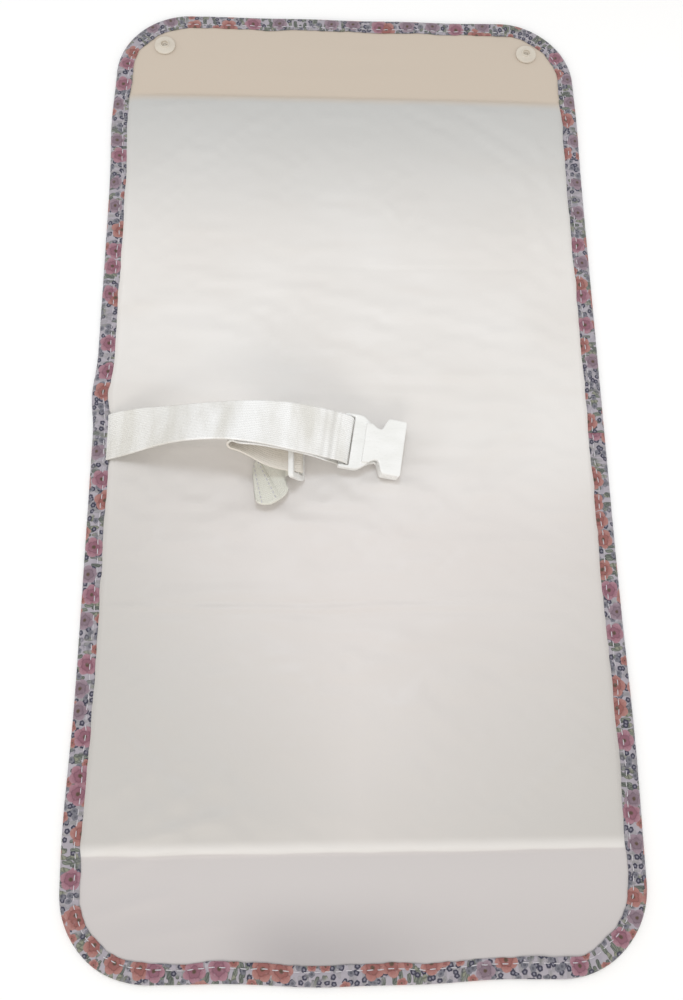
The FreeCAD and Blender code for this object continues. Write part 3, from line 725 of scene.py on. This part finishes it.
def snap_calm(x, y):
    """0 under the two sockets, 1 away from them, so that the sheet lies flat there."""
    calm = 1.0
    for hand in (-1, 1):
        away = np.hypot(x - hand * SNAP_X, y - SOCKET_Y)
        calm = calm * ease((away - 7 * MM) / (6 * MM))
    return calm


SETTLING = {
    "quality": 6,
    "mass": 0.25,
    "tension_stiffness": 25,
    "compression_stiffness": 25,
    "bending_stiffness": 1.2,
    "shrink_min": -0.006,
    "vertex_group_mass": "pins",
}
SETTLING_FRAMES = 25


def settled_cloth():
    """Lets a slightly over-long sheet settle on the padding, and gives how far it moved, as a
    coarse grid of heights over the pad."""
    x, y = sheet_grid(4 * MM, 6 * MM, 6 * MM)
    rows, columns = x.shape
    z = RIM_TOP + (PAD_TOP - RIM_TOP) * padded_share(x, y)
    points = grid_points(x, y, z)
    start = points.copy()
    start[:, 2] += 0.5 * MM * ripple(x, y, 40 * MM, 31).ravel() * padded_share(x, y).ravel()
    cloth = piece("settling_sheet", start, grid_faces(rows, columns), bpy.data.materials[0])
    held = np.nonzero(padded_share(x, y).ravel() < 0.02)[0]
    pins = cloth.vertex_groups.new(name="pins")
    pins.add([int(i) for i in held], 1.0, "REPLACE")
    bed_points = points - np.array([0, 0, 1.2 * MM])
    bed = piece("settling_bed", bed_points, grid_faces(rows, columns), bpy.data.materials[0])
    bed.modifiers.new("bed", "COLLISION")
    bed.collision.thickness_outer = 0.6 * MM
    bed.collision.cloth_friction = 4
    made = cloth.modifiers.new("cloth", "CLOTH")
    for setting, value in SETTLING.items():
        setattr(made.settings, setting, value)
    made.collision_settings.distance_min = 0.6 * MM
    made.collision_settings.use_self_collision = False
    made.settings.effector_weights.gravity = 0.35
    scene = bpy.context.scene
    for number in range(1, SETTLING_FRAMES + 1):
        scene.frame_set(number)
    seen = cloth.evaluated_get(bpy.context.evaluated_depsgraph_get())
    after = np.array([v.co for v in seen.data.vertices])
    lift = (after[:, 2] - points[:, 2]).reshape(rows, columns)
    scene.frame_set(1)
    for used in (cloth, bed):
        bpy.data.objects.remove(used)
    share = padded_share(x, y)
    lift = (lift - (lift * share).sum() / share.sum()) * share
    return np.clip(lift, -1.2 * MM, 1.6 * MM)


def finer(coarse, rows, columns):
    """A coarse grid's values on a finer grid over the same square, by smooth interpolation."""
    def resample(block, count):
        place = np.linspace(0, block.shape[0] - 1, count)
        first = np.clip(np.floor(place).astype(int), 0, block.shape[0] - 2)
        share = (place - first)[:, None]
        picks = [np.clip(first + step, 0, block.shape[0] - 1) for step in (-1, 0, 1, 2)]
        a, b, c, d = (block[pick] for pick in picks)
        return cubic(share, b, (c - a) / 2, c, (d - b) / 2)

    return resample(resample(coarse, rows).T, columns).T


def halves(name, upper, lower, rows, columns, material):
    """Splits a sheet or slab at y = 0 into a lower and an upper piece that meet exactly."""
    middle = rows // 2
    shaped_upper, shaped_lower = sway(upper), sway(lower)
    top_normals = grid_normals(shaped_upper, rows, columns)
    bottom_normals = -grid_normals(shaped_lower, rows, columns)
    flat = upper[:, :2]
    made = []
    for end, part in (("lower", slice(0, middle + 1)), ("upper", slice(middle, rows))):
        def chosen(block):
            width = block.shape[-1]
            return block.reshape(rows, columns, width)[part].reshape(-1, width)

        count = part.stop - part.start
        vertices, faces = thin_body(chosen(shaped_upper), chosen(shaped_lower), count, columns)
        normals = np.concatenate([chosen(top_normals), chosen(bottom_normals)])
        uv = np.concatenate([chosen(flat), chosen(flat)])
        made.append(piece(f"{name}_{end}_half", vertices, faces, material, uv, normals))
    return made


def named_halves(made, node):
    """Hides the CAD nodes that each half stands in for, and gives the halves with the names of their ends.
    """
    for thing, end in zip(made, ("lower", "upper")):
        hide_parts(f"{node}_{end}", f"{node}_middle")
        yield thing, end


def cross_fold(pieces_low_high):
    """Bakes the placement of each piece of the pair into its mesh."""
    for thing, sign, panel in zip(pieces_low_high, (-1, 1), ("lower_panel", "upper_panel")):
        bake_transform(thing)


def top_height(x, y, settled):
    """The height of the top sheet's upper face."""
    share = padded_share(x, y)
    wrinkles = top_wrinkles(x, y) + 0.6 * finer(settled, *x.shape)
    rim_calm = 0.5 + 0.5 * share
    under_tape = ease((edge_distance(x, y) - 9 * MM) / (5 * MM))
    lift = wrinkles * rim_calm * under_tape * snap_calm(x, y)
    base = RIM_TOP + (PAD_TOP - RIM_TOP) * share
    lowest = RIM_TOP - 0.15 * MM
    return np.maximum(base + lift, lowest)


def make_top_sheet(settled, material):
    x, y = sheet_grid(4 * MM, 1.8 * MM, 1.3 * MM)
    rows, columns = x.shape
    z = top_height(x, y, settled)
    upper = grid_points(x, y, z)
    lower = upper - np.array([0, 0, 0.55 * MM])
    made = halves("top_sheet", upper, lower, rows, columns, material)
    for thing, end in named_halves(made, "top_sheet"):
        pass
    cross_fold(made)


def make_padding(material):
    half_length, half_width = PADDED_HALF_LENGTH - 0.8 * MM, PADDED_HALF_WIDTH - 0.8 * MM
    y = np.linspace(-half_length, half_length, 167)[:, None]
    x = np.linspace(-half_width, half_width, 101)[None, :]
    x, y = np.broadcast_arrays(x, y)
    rows, columns = x.shape
    top = RIM_TOP + (PAD_TOP - RIM_TOP) * padded_share(x, y) + 0.6 * top_wrinkles(x, y) - 1.3 * MM
    bottom = 1.0 * MM + np.zeros_like(x)
    for hand in (-1, 1):
        away = np.hypot(x - hand * SNAP_X, y - STUD_Y)
        bottom = bottom + 4.4 * MM * ease((13.5 * MM - away) / (3 * MM))
    top = np.maximum(top, bottom + 0.15 * MM)
    upper = grid_points(x, y, top)
    lower = grid_points(x, y, bottom)
    made = halves("padding", upper, lower, rows, columns, material)
    for thing, _ in named_halves(made, "foam_core"):
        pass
    cross_fold(made)


# how the back sheet rises to make room for the snap caps and the studs: place along y, and the
# rise, the radius and the width of its slope in millimetres
SNAP_ROOM = ((SOCKET_Y, 0.95, 9.6, 1.6), (STUD_Y, 3.5, 9.0, 2.2))


def make_back_sheet(material):
    x, y = sheet_grid(3 * MM, 1.8 * MM, 1.6 * MM)
    rows, columns = x.shape
    inner = ease((edge_distance(x, y) - 10 * MM) / (4 * MM))
    low = 0.25 * MM + 0.16 * MM * inner * np.clip(ripple(x, y, 38 * MM, 51, (0.5, 1.0)), -1.5, 3)
    low = np.maximum(low, 0.02 * MM) * inner + 0.75 * MM * (1 - inner)
    for hand in (-1, 1):
        for snap_y, rise, radius, slope in SNAP_ROOM:
            away = np.hypot(x - hand * SNAP_X, y - snap_y)
            low = np.maximum(low, rise * MM * ease((radius * MM - away) / (slope * MM)))
    lower = grid_points(x, y, low)
    upper = lower + np.array([0, 0, 0.5 * MM])
    made = halves("back_sheet", upper, lower, rows, columns, material)
    for thing, _ in named_halves(made, "back_sheet"):
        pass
    cross_fold(made)


# ---------------------------------------------------------------- the binding and its stitches

# the folded tape's outer skin, from its inner edge on top, round the pad's edge, to its inner edge
# underneath: how far in from the pad's edge, and how high, in millimetres
TAPE_SKIN = (
    (10.8, 2.5), (11.0, 2.68), (10.95, 2.95), (10.5, 3.1), (9.6, 3.16), (8.7, 3.08), (8.15, 2.86),
    (7.8, 2.76), (7.45, 2.86), (6.9, 3.1), (5.9, 3.26), (4.6, 3.34), (3.2, 3.28), (2.0, 3.08),
    (1.0, 2.68), (0.3, 2.16), (0.0, 1.6), (0.3, 1.02), (1.0, 0.52), (2.0, 0.2), (3.2, 0.05),
    (4.6, 0.0), (5.9, 0.03), (6.9, 0.12), (7.45, 0.34), (7.8, 0.44), (8.15, 0.34), (8.7, 0.12),
    (9.6, 0.04), (10.5, 0.08), (10.95, 0.22), (11.0, 0.5), (10.8, 0.7),
)
TAPE_LINING = ((9.5, 0.78), (6.0, 0.8), (2.5, 0.85), (1.1, 1.6), (2.5, 2.35), (6.0, 2.4), (9.5, 2.42))
STITCH_LINE = 8.0 * MM
STITCH_PITCH = 5.7 * MM
STITCH_LENGTH = 4.0 * MM


class Edge:
    """The pad's outline as a path of arc length, from the right side's middle towards +y."""

    straight = HALF_LENGTH - CORNER
    across = HALF_WIDTH - CORNER
    arc = CORNER * math.pi / 2
    length = 4 * (straight + across + arc)

    def at(self, distance):
        """Points on the outline and the directions out of it, at distances along it."""
        distance = np.mod(np.asarray(distance, float), self.length)
        half = self.length / 2
        second = distance >= half
        s = np.where(second, distance - half, distance)
        corner_end = self.straight + self.arc
        side_end = corner_end + 2 * self.across
        last_end = side_end + self.arc
        first_turn = np.clip((s - self.straight) / CORNER, 0, math.pi / 2)
        last_turn = np.clip((s - side_end) / CORNER, 0, math.pi / 2)
        angle = first_turn + last_turn
        out = np.stack([np.cos(angle), np.sin(angle)], axis=-1)
        past_corner = np.clip(s - corner_end, 0, 2 * self.across)
        centre_x = self.across - past_corner
        centre_y = np.where(s < last_end, np.minimum(s, self.straight), self.straight - (s - last_end))
        place = np.stack([centre_x, centre_y], axis=-1) + out * CORNER
        sign = np.where(second, -1.0, 1.0)[..., None]
        return place * sign, out * sign


EDGE = Edge()


def hump(place):
    """How much the strap's sewn end lifts the tape over it, from 0 to 1."""
    x, y = place[..., 0], place[..., 1]
    away = np.abs(y - STRAP_Y) - STRAP_HALF_WIDTH
    return np.where(x < 0, ease(1 - away / (4 * MM)), 0.0)


def on_tape(distance, inset, height):
    """Points of the tape's skin at distances along the edge, with its lie and its lumps."""
    place, out = EDGE.at(distance)
    top = ease((height - 1.6 * MM) / (1.0 * MM))
    inner = ease(inset / TAPE_WIDTH)
    gather = ripple(distance, 0 * distance, 11 * MM, 61)
    slow = ripple(distance, 0 * distance, 70 * MM, 62)
    edge_waver = ripple(distance, 0 * distance, 34 * MM, 63)
    bunch = 0.5 * np.cos(2 * math.pi * distance / STITCH_PITCH)
    crown = np.exp(-(((inset - 4.6 * MM) / (2.6 * MM)) ** 2))
    inward = inset + inner * (0.35 * MM * edge_waver + 0.12 * MM * gather)
    lift = top * crown * (0.11 * MM * gather + 0.1 * MM * bunch + 0.1 * MM * slow)
    lift = lift + top * HUMP_RISE * hump(place) * ease((inset - 0.5 * MM) / (2.5 * MM))
    xy = place - out * inward[..., None]
    return np.concatenate([xy, (height + lift)[..., None]], axis=-1)


def make_binding(material):
    profile = np.array(TAPE_SKIN + TAPE_LINING) * MM
    steps = np.linalg.norm(np.diff(profile, axis=0), axis=1)
    over = np.concatenate([[0], np.cumsum(steps)])
    for end, first in (("upper", 0.0), ("lower", EDGE.length / 2)):
        rows = 2 * round(EDGE.length / 2 / (1.25 * MM) / 2) + 1
        run = first + np.linspace(0, EDGE.length / 2, rows)
        distance, inset = np.meshgrid(run, profile[:, 0], indexing="ij")
        height = np.broadcast_to(profile[:, 1], distance.shape)
        points = on_tape(distance, inset, height)
        columns = len(profile)
        faces = grid_faces(rows, columns, wrap=True)
        caps = [np.arange(columns), np.arange(columns)[::-1] + (rows - 1) * columns]
        flat = np.stack([distance, np.broadcast_to(over, distance.shape)], axis=-1).reshape(-1, 2)
        everything = [tuple(f) for f in faces] + [tuple(c) for c in caps]
        name = f"binding_{end}_half"
        made = piece(name, sway(points.reshape(-1, 3)), everything, material, flat)
        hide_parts(f"binding_{end}", "binding_middle_left", "binding_middle_right")
        yield made


STITCH_RINGS = ((0.0, 0.25, -0.42), (0.1, 0.8, -0.05), (0.3, 1.0, 0.12), (0.5, 1.05, 0.16),
                (0.7, 1.0, 0.12), (0.9, 0.8, -0.05), (1.0, 0.25, -0.42))


def make_stitches(material):
    """Thread dashes along the tape, on both of its faces."""
    sides = 8
    half_across, half_high = 0.28 * MM, 0.22 * MM
    draw = np.random.default_rng(71)
    count = 2 * round(EDGE.length / STITCH_PITCH / 2)
    for end, first in (("upper", 0), ("lower", count // 2)):
        vertices, faces, flat = [], [], []
        for number in range(first, first + count // 2):
            begin = (number + 0.15) * EDGE.length / count
            skew = draw.uniform(-0.22, 0.22, 2) * MM
            for face_height, sign in ((2.82 * MM, 1), (0.38 * MM, -1)):
                for share, thick, rise in STITCH_RINGS:
                    distance = begin + share * STITCH_LENGTH
                    inset = STITCH_LINE + skew[0] * (1 - share) + skew[1] * share
                    middle = on_tape(np.array(distance), np.array(inset), np.array(face_height))
                    out = EDGE.at(distance)[1]
                    for side in range(sides):
                        turn = 2 * math.pi * side / sides
                        spread = half_across * thick * math.cos(turn)
                        level = sign * (rise * MM + half_high * thick * math.sin(turn))
                        vertices.append((*(middle[:2] + out * spread), middle[2] + level))
                        flat.append((distance, half_across * turn))
                start = len(vertices) - sides * len(STITCH_RINGS)
                quads = grid_faces(len(STITCH_RINGS), sides, start, flip=sign > 0, wrap=True)
                faces += [tuple(q) for q in quads]
                tip = tuple(range(start, start + sides))
                tail = tuple(range(len(vertices) - sides, len(vertices)))
                faces += [tip, tail[::-1]] if sign > 0 else [tip[::-1], tail]
        made = piece(f"binding_stitches_{end}_half", sway(vertices), faces, material, flat)
        yield made


# ---------------------------------------------------------------- the strap

# the same places as the CAD webbing's: x, y, z, roll and yaw, in millimetres and degrees
BUCKLE_BAR = (-6.0, -11.3, 19.0)
GLIDE_BAR = (-35.0, -17.5, 22.2)
OUTGOING = (
    (-149.7, -5.0, 6.6, 0, 0), (-142.0, -5.2, 12.0, 1, -2), (-132.0, -5.5, 19.0, 8, -2),
    (-120.0, -6.0, 26.8, 17, -3), (-106.0, -6.7, 34.8, 24, -3), (-90.0, -7.6, 42.3, 26, -3),
    (-73.0, -8.4, 46.6, 24, -3), (-57.0, -9.1, 46.4, 17, -3), (-43.0, -9.8, 43.2, 9, -3),
    (-32.0, -10.3, 39.0, 4, -4), (-22.0, -10.8, 34.2, 1, -6), (-13.0, -11.1, 28.6, 0, -8),
)
RETURNING = (
    (-15.0, -11.0, 23.4, 0, -8), (-24.0, -10.7, 31.5, 1, -6), (-34.0, -10.3, 37.1, 4, -4),
    (-45.0, -9.8, 40.7, 10, -3), (-58.0, -9.3, 43.0, 17, -3), (-68.0, -9.2, 43.3, 22, -3),
)
TURN_BACK_CENTRE = (-70.0, -9.6, 39.7)
INWARD = ((-62.0, -12.4, 34.6, 12, -6), (-52.0, -15.8, 31.0, -1, -5), (-43.5, -17.3, 27.5, -8, 0))
TAIL = (
    (-42.5, -19.0, 18.0, -9, 4), (-44.7, -22.8, 16.8, -8, 14), (-46.8, -28.0, 15.7, -3, 27),
    (-50.2, -33.2, 14.9, 5, 30), (-55.0, -37.2, 14.5, 11, 20), (-61.0, -39.2, 14.2, 14, 6),
)
# the run that is caught in the seam, under the tape
SEWN_RUN = ((-160.5, -5.0, 3.2, 0, 0), (-156.5, -5.0, 3.2, 0, 0), (-152.8, -5.0, 3.9, 0, 0))


def rolled(roll, yaw):
    """The directions along, across and out of a webbing that lies level but for a roll and a yaw."""
    r, w = math.radians(-roll), math.radians(yaw)
    yawed = np.array([[math.cos(w), -math.sin(w), 0], [math.sin(w), math.cos(w), 0], [0, 0, 1]])
    leaned = np.array([[1, 0, 0], [0, math.cos(r), -math.sin(r)], [0, math.sin(r), math.cos(r)]])
    turn = yawed @ leaned
    return turn[:, 0], turn[:, 1], turn[:, 2]


def free_run(rows):
    return [(np.array(row[:3]), rolled(*row[3:])[1]) for row in rows]


def bend(centre, radius, first, last, steps, roll, yaw):
    """Stations of a bend round a centre, from one angle to another, seen along the webbing's width."""
    ahead, across, out = rolled(roll, yaw)
    stations = []
    for angle in np.radians(np.linspace(first, last, steps + 1)):
        offset = ahead * math.cos(angle) + out * math.sin(angle)
        stations.append((np.array(centre) + radius * offset, across))
    return stations


def smooth_path(stations, spacing):
    """Points and width directions at an even spacing on a smooth curve through the stations."""
    knots = np.array([np.concatenate([place, across]) for place, across in stations])
    gaps = np.linalg.norm(np.diff(knots[:, :3], axis=0), axis=1)
    at = np.concatenate([[0], np.cumsum(gaps)])
    slopes = np.diff(knots, axis=0) / gaps[:, None]
    tangents = np.empty_like(knots)
    tangents[0], tangents[-1] = slopes[0], slopes[-1]
    before, after = gaps[:-1, None], gaps[1:, None]
    tangents[1:-1] = (slopes[:-1] * after + slopes[1:] * before) / (before + after)
    run = np.linspace(0, at[-1], round(at[-1] / spacing) + 1)
    index = np.clip(np.searchsorted(at, run, side="right") - 1, 0, len(gaps) - 1)
    gap = gaps[index][:, None]
    t = ((run - at[index]) / gaps[index])[:, None]
    path = cubic(t, knots[index], gap * tangents[index], knots[index + 1], gap * tangents[index + 1])
    across = path[:, 3:] / np.linalg.norm(path[:, 3:], axis=1, keepdims=True)
    return run, path[:, :3], across


def strap_path(spacing=0.7):
    return smooth_path(
        free_run(SEWN_RUN)
        + free_run(OUTGOING)
        + bend(BUCKLE_BAR, 3.4, 50, -130, 9, 0, -9)
        + free_run(RETURNING)
        + bend(TURN_BACK_CENTRE, 3.8, 110, 270, 5, 22, -3)
        + free_run(INWARD)
        + bend(GLIDE_BAR, 3.3, 66, -80, 8, -8, 0)
        + free_run(TAIL),
        spacing,
    )


# the webbing's section and its tail's end, in millimetres
BAND_HALF_WIDTH = 14.75
BAND_HALF_THICKNESS = 0.68
HEM_LENGTH = 11.5
TAIL_CORNER = 7
# the two rows of stitches across the hem: how far from the tail's end, stitches in a row, the
# first one's middle, the step from one to the next, and a stitch's length
HEM_ROWS = (3.2, 9.6)
HEM_STITCHES = 9
HEM_FIRST = -12.4
HEM_PITCH = 3.1
HEM_STITCH_LENGTH = 2.3


def make_strap(material):
    run, path, across = strap_path()
    ahead = np.gradient(path, axis=0)
    ahead /= np.linalg.norm(ahead, axis=1, keepdims=True)
    out = np.cross(ahead, across)
    out /= np.linalg.norm(out, axis=1, keepdims=True)
    # the section: a flat band with a rounded, slightly fuller selvedge on each side
    width = np.linspace(-BAND_HALF_WIDTH, BAND_HALF_WIDTH, 41)
    swell = BAND_HALF_THICKNESS + 0.1 * np.exp(-(((np.abs(width) - 13.9) / 0.7) ** 2))
    side = [(15.0, 0.45), (15.1, 0.0), (15.0, -0.45)]
    profile = list(zip(width, swell)) + side + list(zip(width[::-1], -swell[::-1]))
    profile += [(-a, -b) for a, b in side]
    profile = np.array(profile)
    # the end of the tail is folded over and sewn down
    hem = ease((run - run[-1] + HEM_LENGTH) / 1.2)
    tip = np.sqrt(np.clip((run[-1] - run) / 0.9, 0.02, 1))
    creased = ease((run * MM - CREASE_START) / (5 * MM)) * ease((CREASE_END - run * MM) / (3 * MM))
    # the tail's corners are rounded off
    from_end = np.clip(TAIL_CORNER - (run[-1] - run), 0, TAIL_CORNER)
    narrower = 1 - (TAIL_CORNER - np.sqrt(TAIL_CORNER**2 - from_end**2)) / 15 * 0.95
    vertices, flat = [], []
    for index in range(len(run)):
        crease = 0.16 * creased[index] * math.cos(run[index] * MM * 2 * math.pi / CREASE_PITCH)
        wave = 0.05 * math.sin(run[index] / 2.3) + 0.04 * math.sin(run[index] / 1.1)
        across_place = profile[:, 0] * (1 + 0.004 * wave) * narrower[index]
        height = profile[:, 1] * tip[index] + crease
        height = height + np.where(profile[:, 1] < 0, -0.85 * hem[index] * tip[index], 0)
        spots = path[index] + across[index] * across_place[:, None] + out[index] * height[:, None]
        vertices.append(spots)
        flat.append(np.stack([np.full(len(profile), run[index]), profile[:, 0]], axis=-1))
    vertices = np.concatenate(vertices) * MM
    flat = np.concatenate(flat) * MM
    columns = len(profile)
    faces = [tuple(f) for f in grid_faces(len(run), columns, wrap=True, flip=True)]
    faces += [tuple(range(columns))[::-1], tuple(range((len(run) - 1) * columns, len(run) * columns))]
    made = piece("strap", vertices, faces, material, flat)
    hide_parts("strap_webbing", "strap_sewn_end")
    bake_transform(made)
    return run, path, across, out


def make_hem_stitches(route, material):
    """Two rows of thread across the tail's hem."""
    run, path, across, out = route
    sides = 6
    vertices, faces, flat = [], [], []
    for back in HEM_ROWS:
        index = int(np.searchsorted(run, run[-1] - back))
        for number in range(HEM_STITCHES):
            middle = HEM_FIRST + HEM_PITCH * number
            for level, sign in ((0.7, 1), (-1.5, -1)):
                start = len(vertices)
                for share, thick, rise in STITCH_RINGS:
                    place = path[index] + across[index] * (middle + HEM_STITCH_LENGTH * (share - 0.5))
                    place = place + out[index] * (level + sign * (rise * 0.6 + 0.02))
                    ahead = np.cross(across[index], out[index])
                    for side in range(sides):
                        turn = 2 * math.pi * side / sides
                        spot = place + ahead * 0.3 * thick * math.cos(turn)
                        spot = spot + out[index] * 0.22 * thick * math.sin(turn)
                        vertices.append(spot * MM)
                        flat.append((share * HEM_STITCH_LENGTH * MM, 0.3 * turn * MM))
                faces += [tuple(q) for q in grid_faces(len(STITCH_RINGS), sides, start, wrap=True)]
    made = piece("strap_hem_stitches", vertices, faces, material, flat)
    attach(made, "strap")


# ---------------------------------------------------------------- plastic parts


def moulded(node, voxel, body, material):
    """The CAD part with its edges rounded off, as a mould leaves them."""
    made = bpy.data.objects.new(f"{node}_moulded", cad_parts[node].data.copy())
    bpy.context.scene.collection.objects.link(made)
    remesh = made.modifiers.new("remesh", "REMESH")
    remesh.mode = "VOXEL"
    remesh.voxel_size = voxel
    smooth = made.modifiers.new("smooth", "SMOOTH")
    smooth.factor = 0.5
    smooth.iterations = 4
    seen = made.evaluated_get(bpy.context.evaluated_depsgraph_get())
    data = bpy.data.meshes.new_from_object(seen)
    made.modifiers.clear()
    made.data = data
    data.materials.clear()
    data.materials.append(material)
    data.polygons.foreach_set("use_smooth", [True] * len(data.polygons))
    data.update()
    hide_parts(node)
    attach(made, body)


def spun(name, profile, centre, body, node, material):
    """A round part turned from a closed profile of (radius, height) in millimetres."""
    segments = 72
    points = np.array(profile, float)
    # round the profile's corners by cutting them three times
    for _ in range(3):
        after = np.roll(points, -1, axis=0)
        on_axis = (points[:, 0] == 0) & (after[:, 0] == 0)
        cut = []
        for first, second, keep in zip(points, after, on_axis):
            if keep:
                cut += [first, second]
            else:
                cut += [0.8 * first + 0.2 * second, 0.2 * first + 0.8 * second]
        points = np.array(cut)
        points[:, 0] = np.maximum(points[:, 0], 0)
    angles = np.linspace(0, 2 * math.pi, segments, endpoint=False)
    radius = np.maximum(points[:, 0], 0.004)
    x = centre[0] + radius[None, :] * np.cos(angles)[:, None] * MM
    y = centre[1] + radius[None, :] * np.sin(angles)[:, None] * MM
    z = centre[2] + np.broadcast_to(points[:, 1] * MM, x.shape)
    ring = grid_points(x, y, z)
    faces = grid_faces(segments + 1, len(points), wrap=True) % len(ring)
    made = piece(name, ring, faces, material)
    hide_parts(node)
    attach(made, body)


SOCKET_PROFILE = (
    (1.6, 0), (7.35, 0), (7.4, 0.8), (7.1, 1.3), (6.4, 1.5), (5.0, 1.6), (3.8, 1.7), (3.3, 1.95),
    (3.15, 2.6), (2.8, 2.85), (2.45, 2.6), (2.35, 0.95), (1.6, 0.9),
)
CAP_PROFILE = (
    (0, 0.12), (4.5, 0.02), (6.9, 0.05), (7.35, 0.4), (7.35, 0.8), (1.5, 0.8), (1.5, 3.25), (0, 3.25),
)
STUD_PROFILE = (
    (0, 0.3), (1.6, 0.3), (2.3, 1.0), (2.25, 1.6), (1.8, 2.4),
    (6.0, 2.4), (6.0, 3.35), (1.6, 3.4), (0, 3.4),
)
# the turned parts: name, profile, place along y, height and body
TURNED = (
    ("snap_socket", SOCKET_PROFILE, SOCKET_Y, RIM_TOP, "upper_panel"),
    ("snap_cap", CAP_PROFILE, SOCKET_Y, 0, "upper_panel"),
    ("snap_stud", STUD_PROFILE, STUD_Y, 0, "lower_panel"),
)


def make_snaps(material):
    for hand, sign in (("left", -1), ("right", 1)):
        for part, profile, y, z, body in TURNED:
            node = f"{part}_{hand}"
            spun(f"{node}_disc", profile, (sign * SNAP_X, y, z), body, node, material)
        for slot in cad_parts[f"stud_cap_{hand}"].material_slots:
            slot.material = material


# ---------------------------------------------------------------- put together

make_camera()
make_studio()

corners = [(x, y, -0.4 * MM) for x, y in ((-3, -3), (3, -3), (3, 3), (-3, 3))]
floor = piece("floor", corners, [(0, 1, 2, 3)], floor_material())

print_cloth = printed_cloth_material("printed_cloth", 0.42 * MM)
thread = thread_material()
settled = settled_cloth()
make_padding(foam_material())
make_top_sheet(settled, sheet_material())
make_back_sheet(print_cloth)
upper_tape, lower_tape = make_binding(print_cloth)
cross_fold((lower_tape, upper_tape))
upper_stitches, lower_stitches = make_stitches(thread)
cross_fold((lower_stitches, upper_stitches))
route = make_strap(webbing_material())
make_hem_stitches(route, thread)
buckle_plastic = plastic_material("buckle_plastic", linear(240, 240, 238), linear(233, 233, 230), 0.3)
moulded("buckle_socket", 0.36 * MM, "buckle", buckle_plastic)
moulded("triglide", 0.34 * MM, "adjuster", buckle_plastic)
make_snaps(plastic_material("snap_plastic", linear(212, 204, 191), linear(204, 195, 182), 0.4))
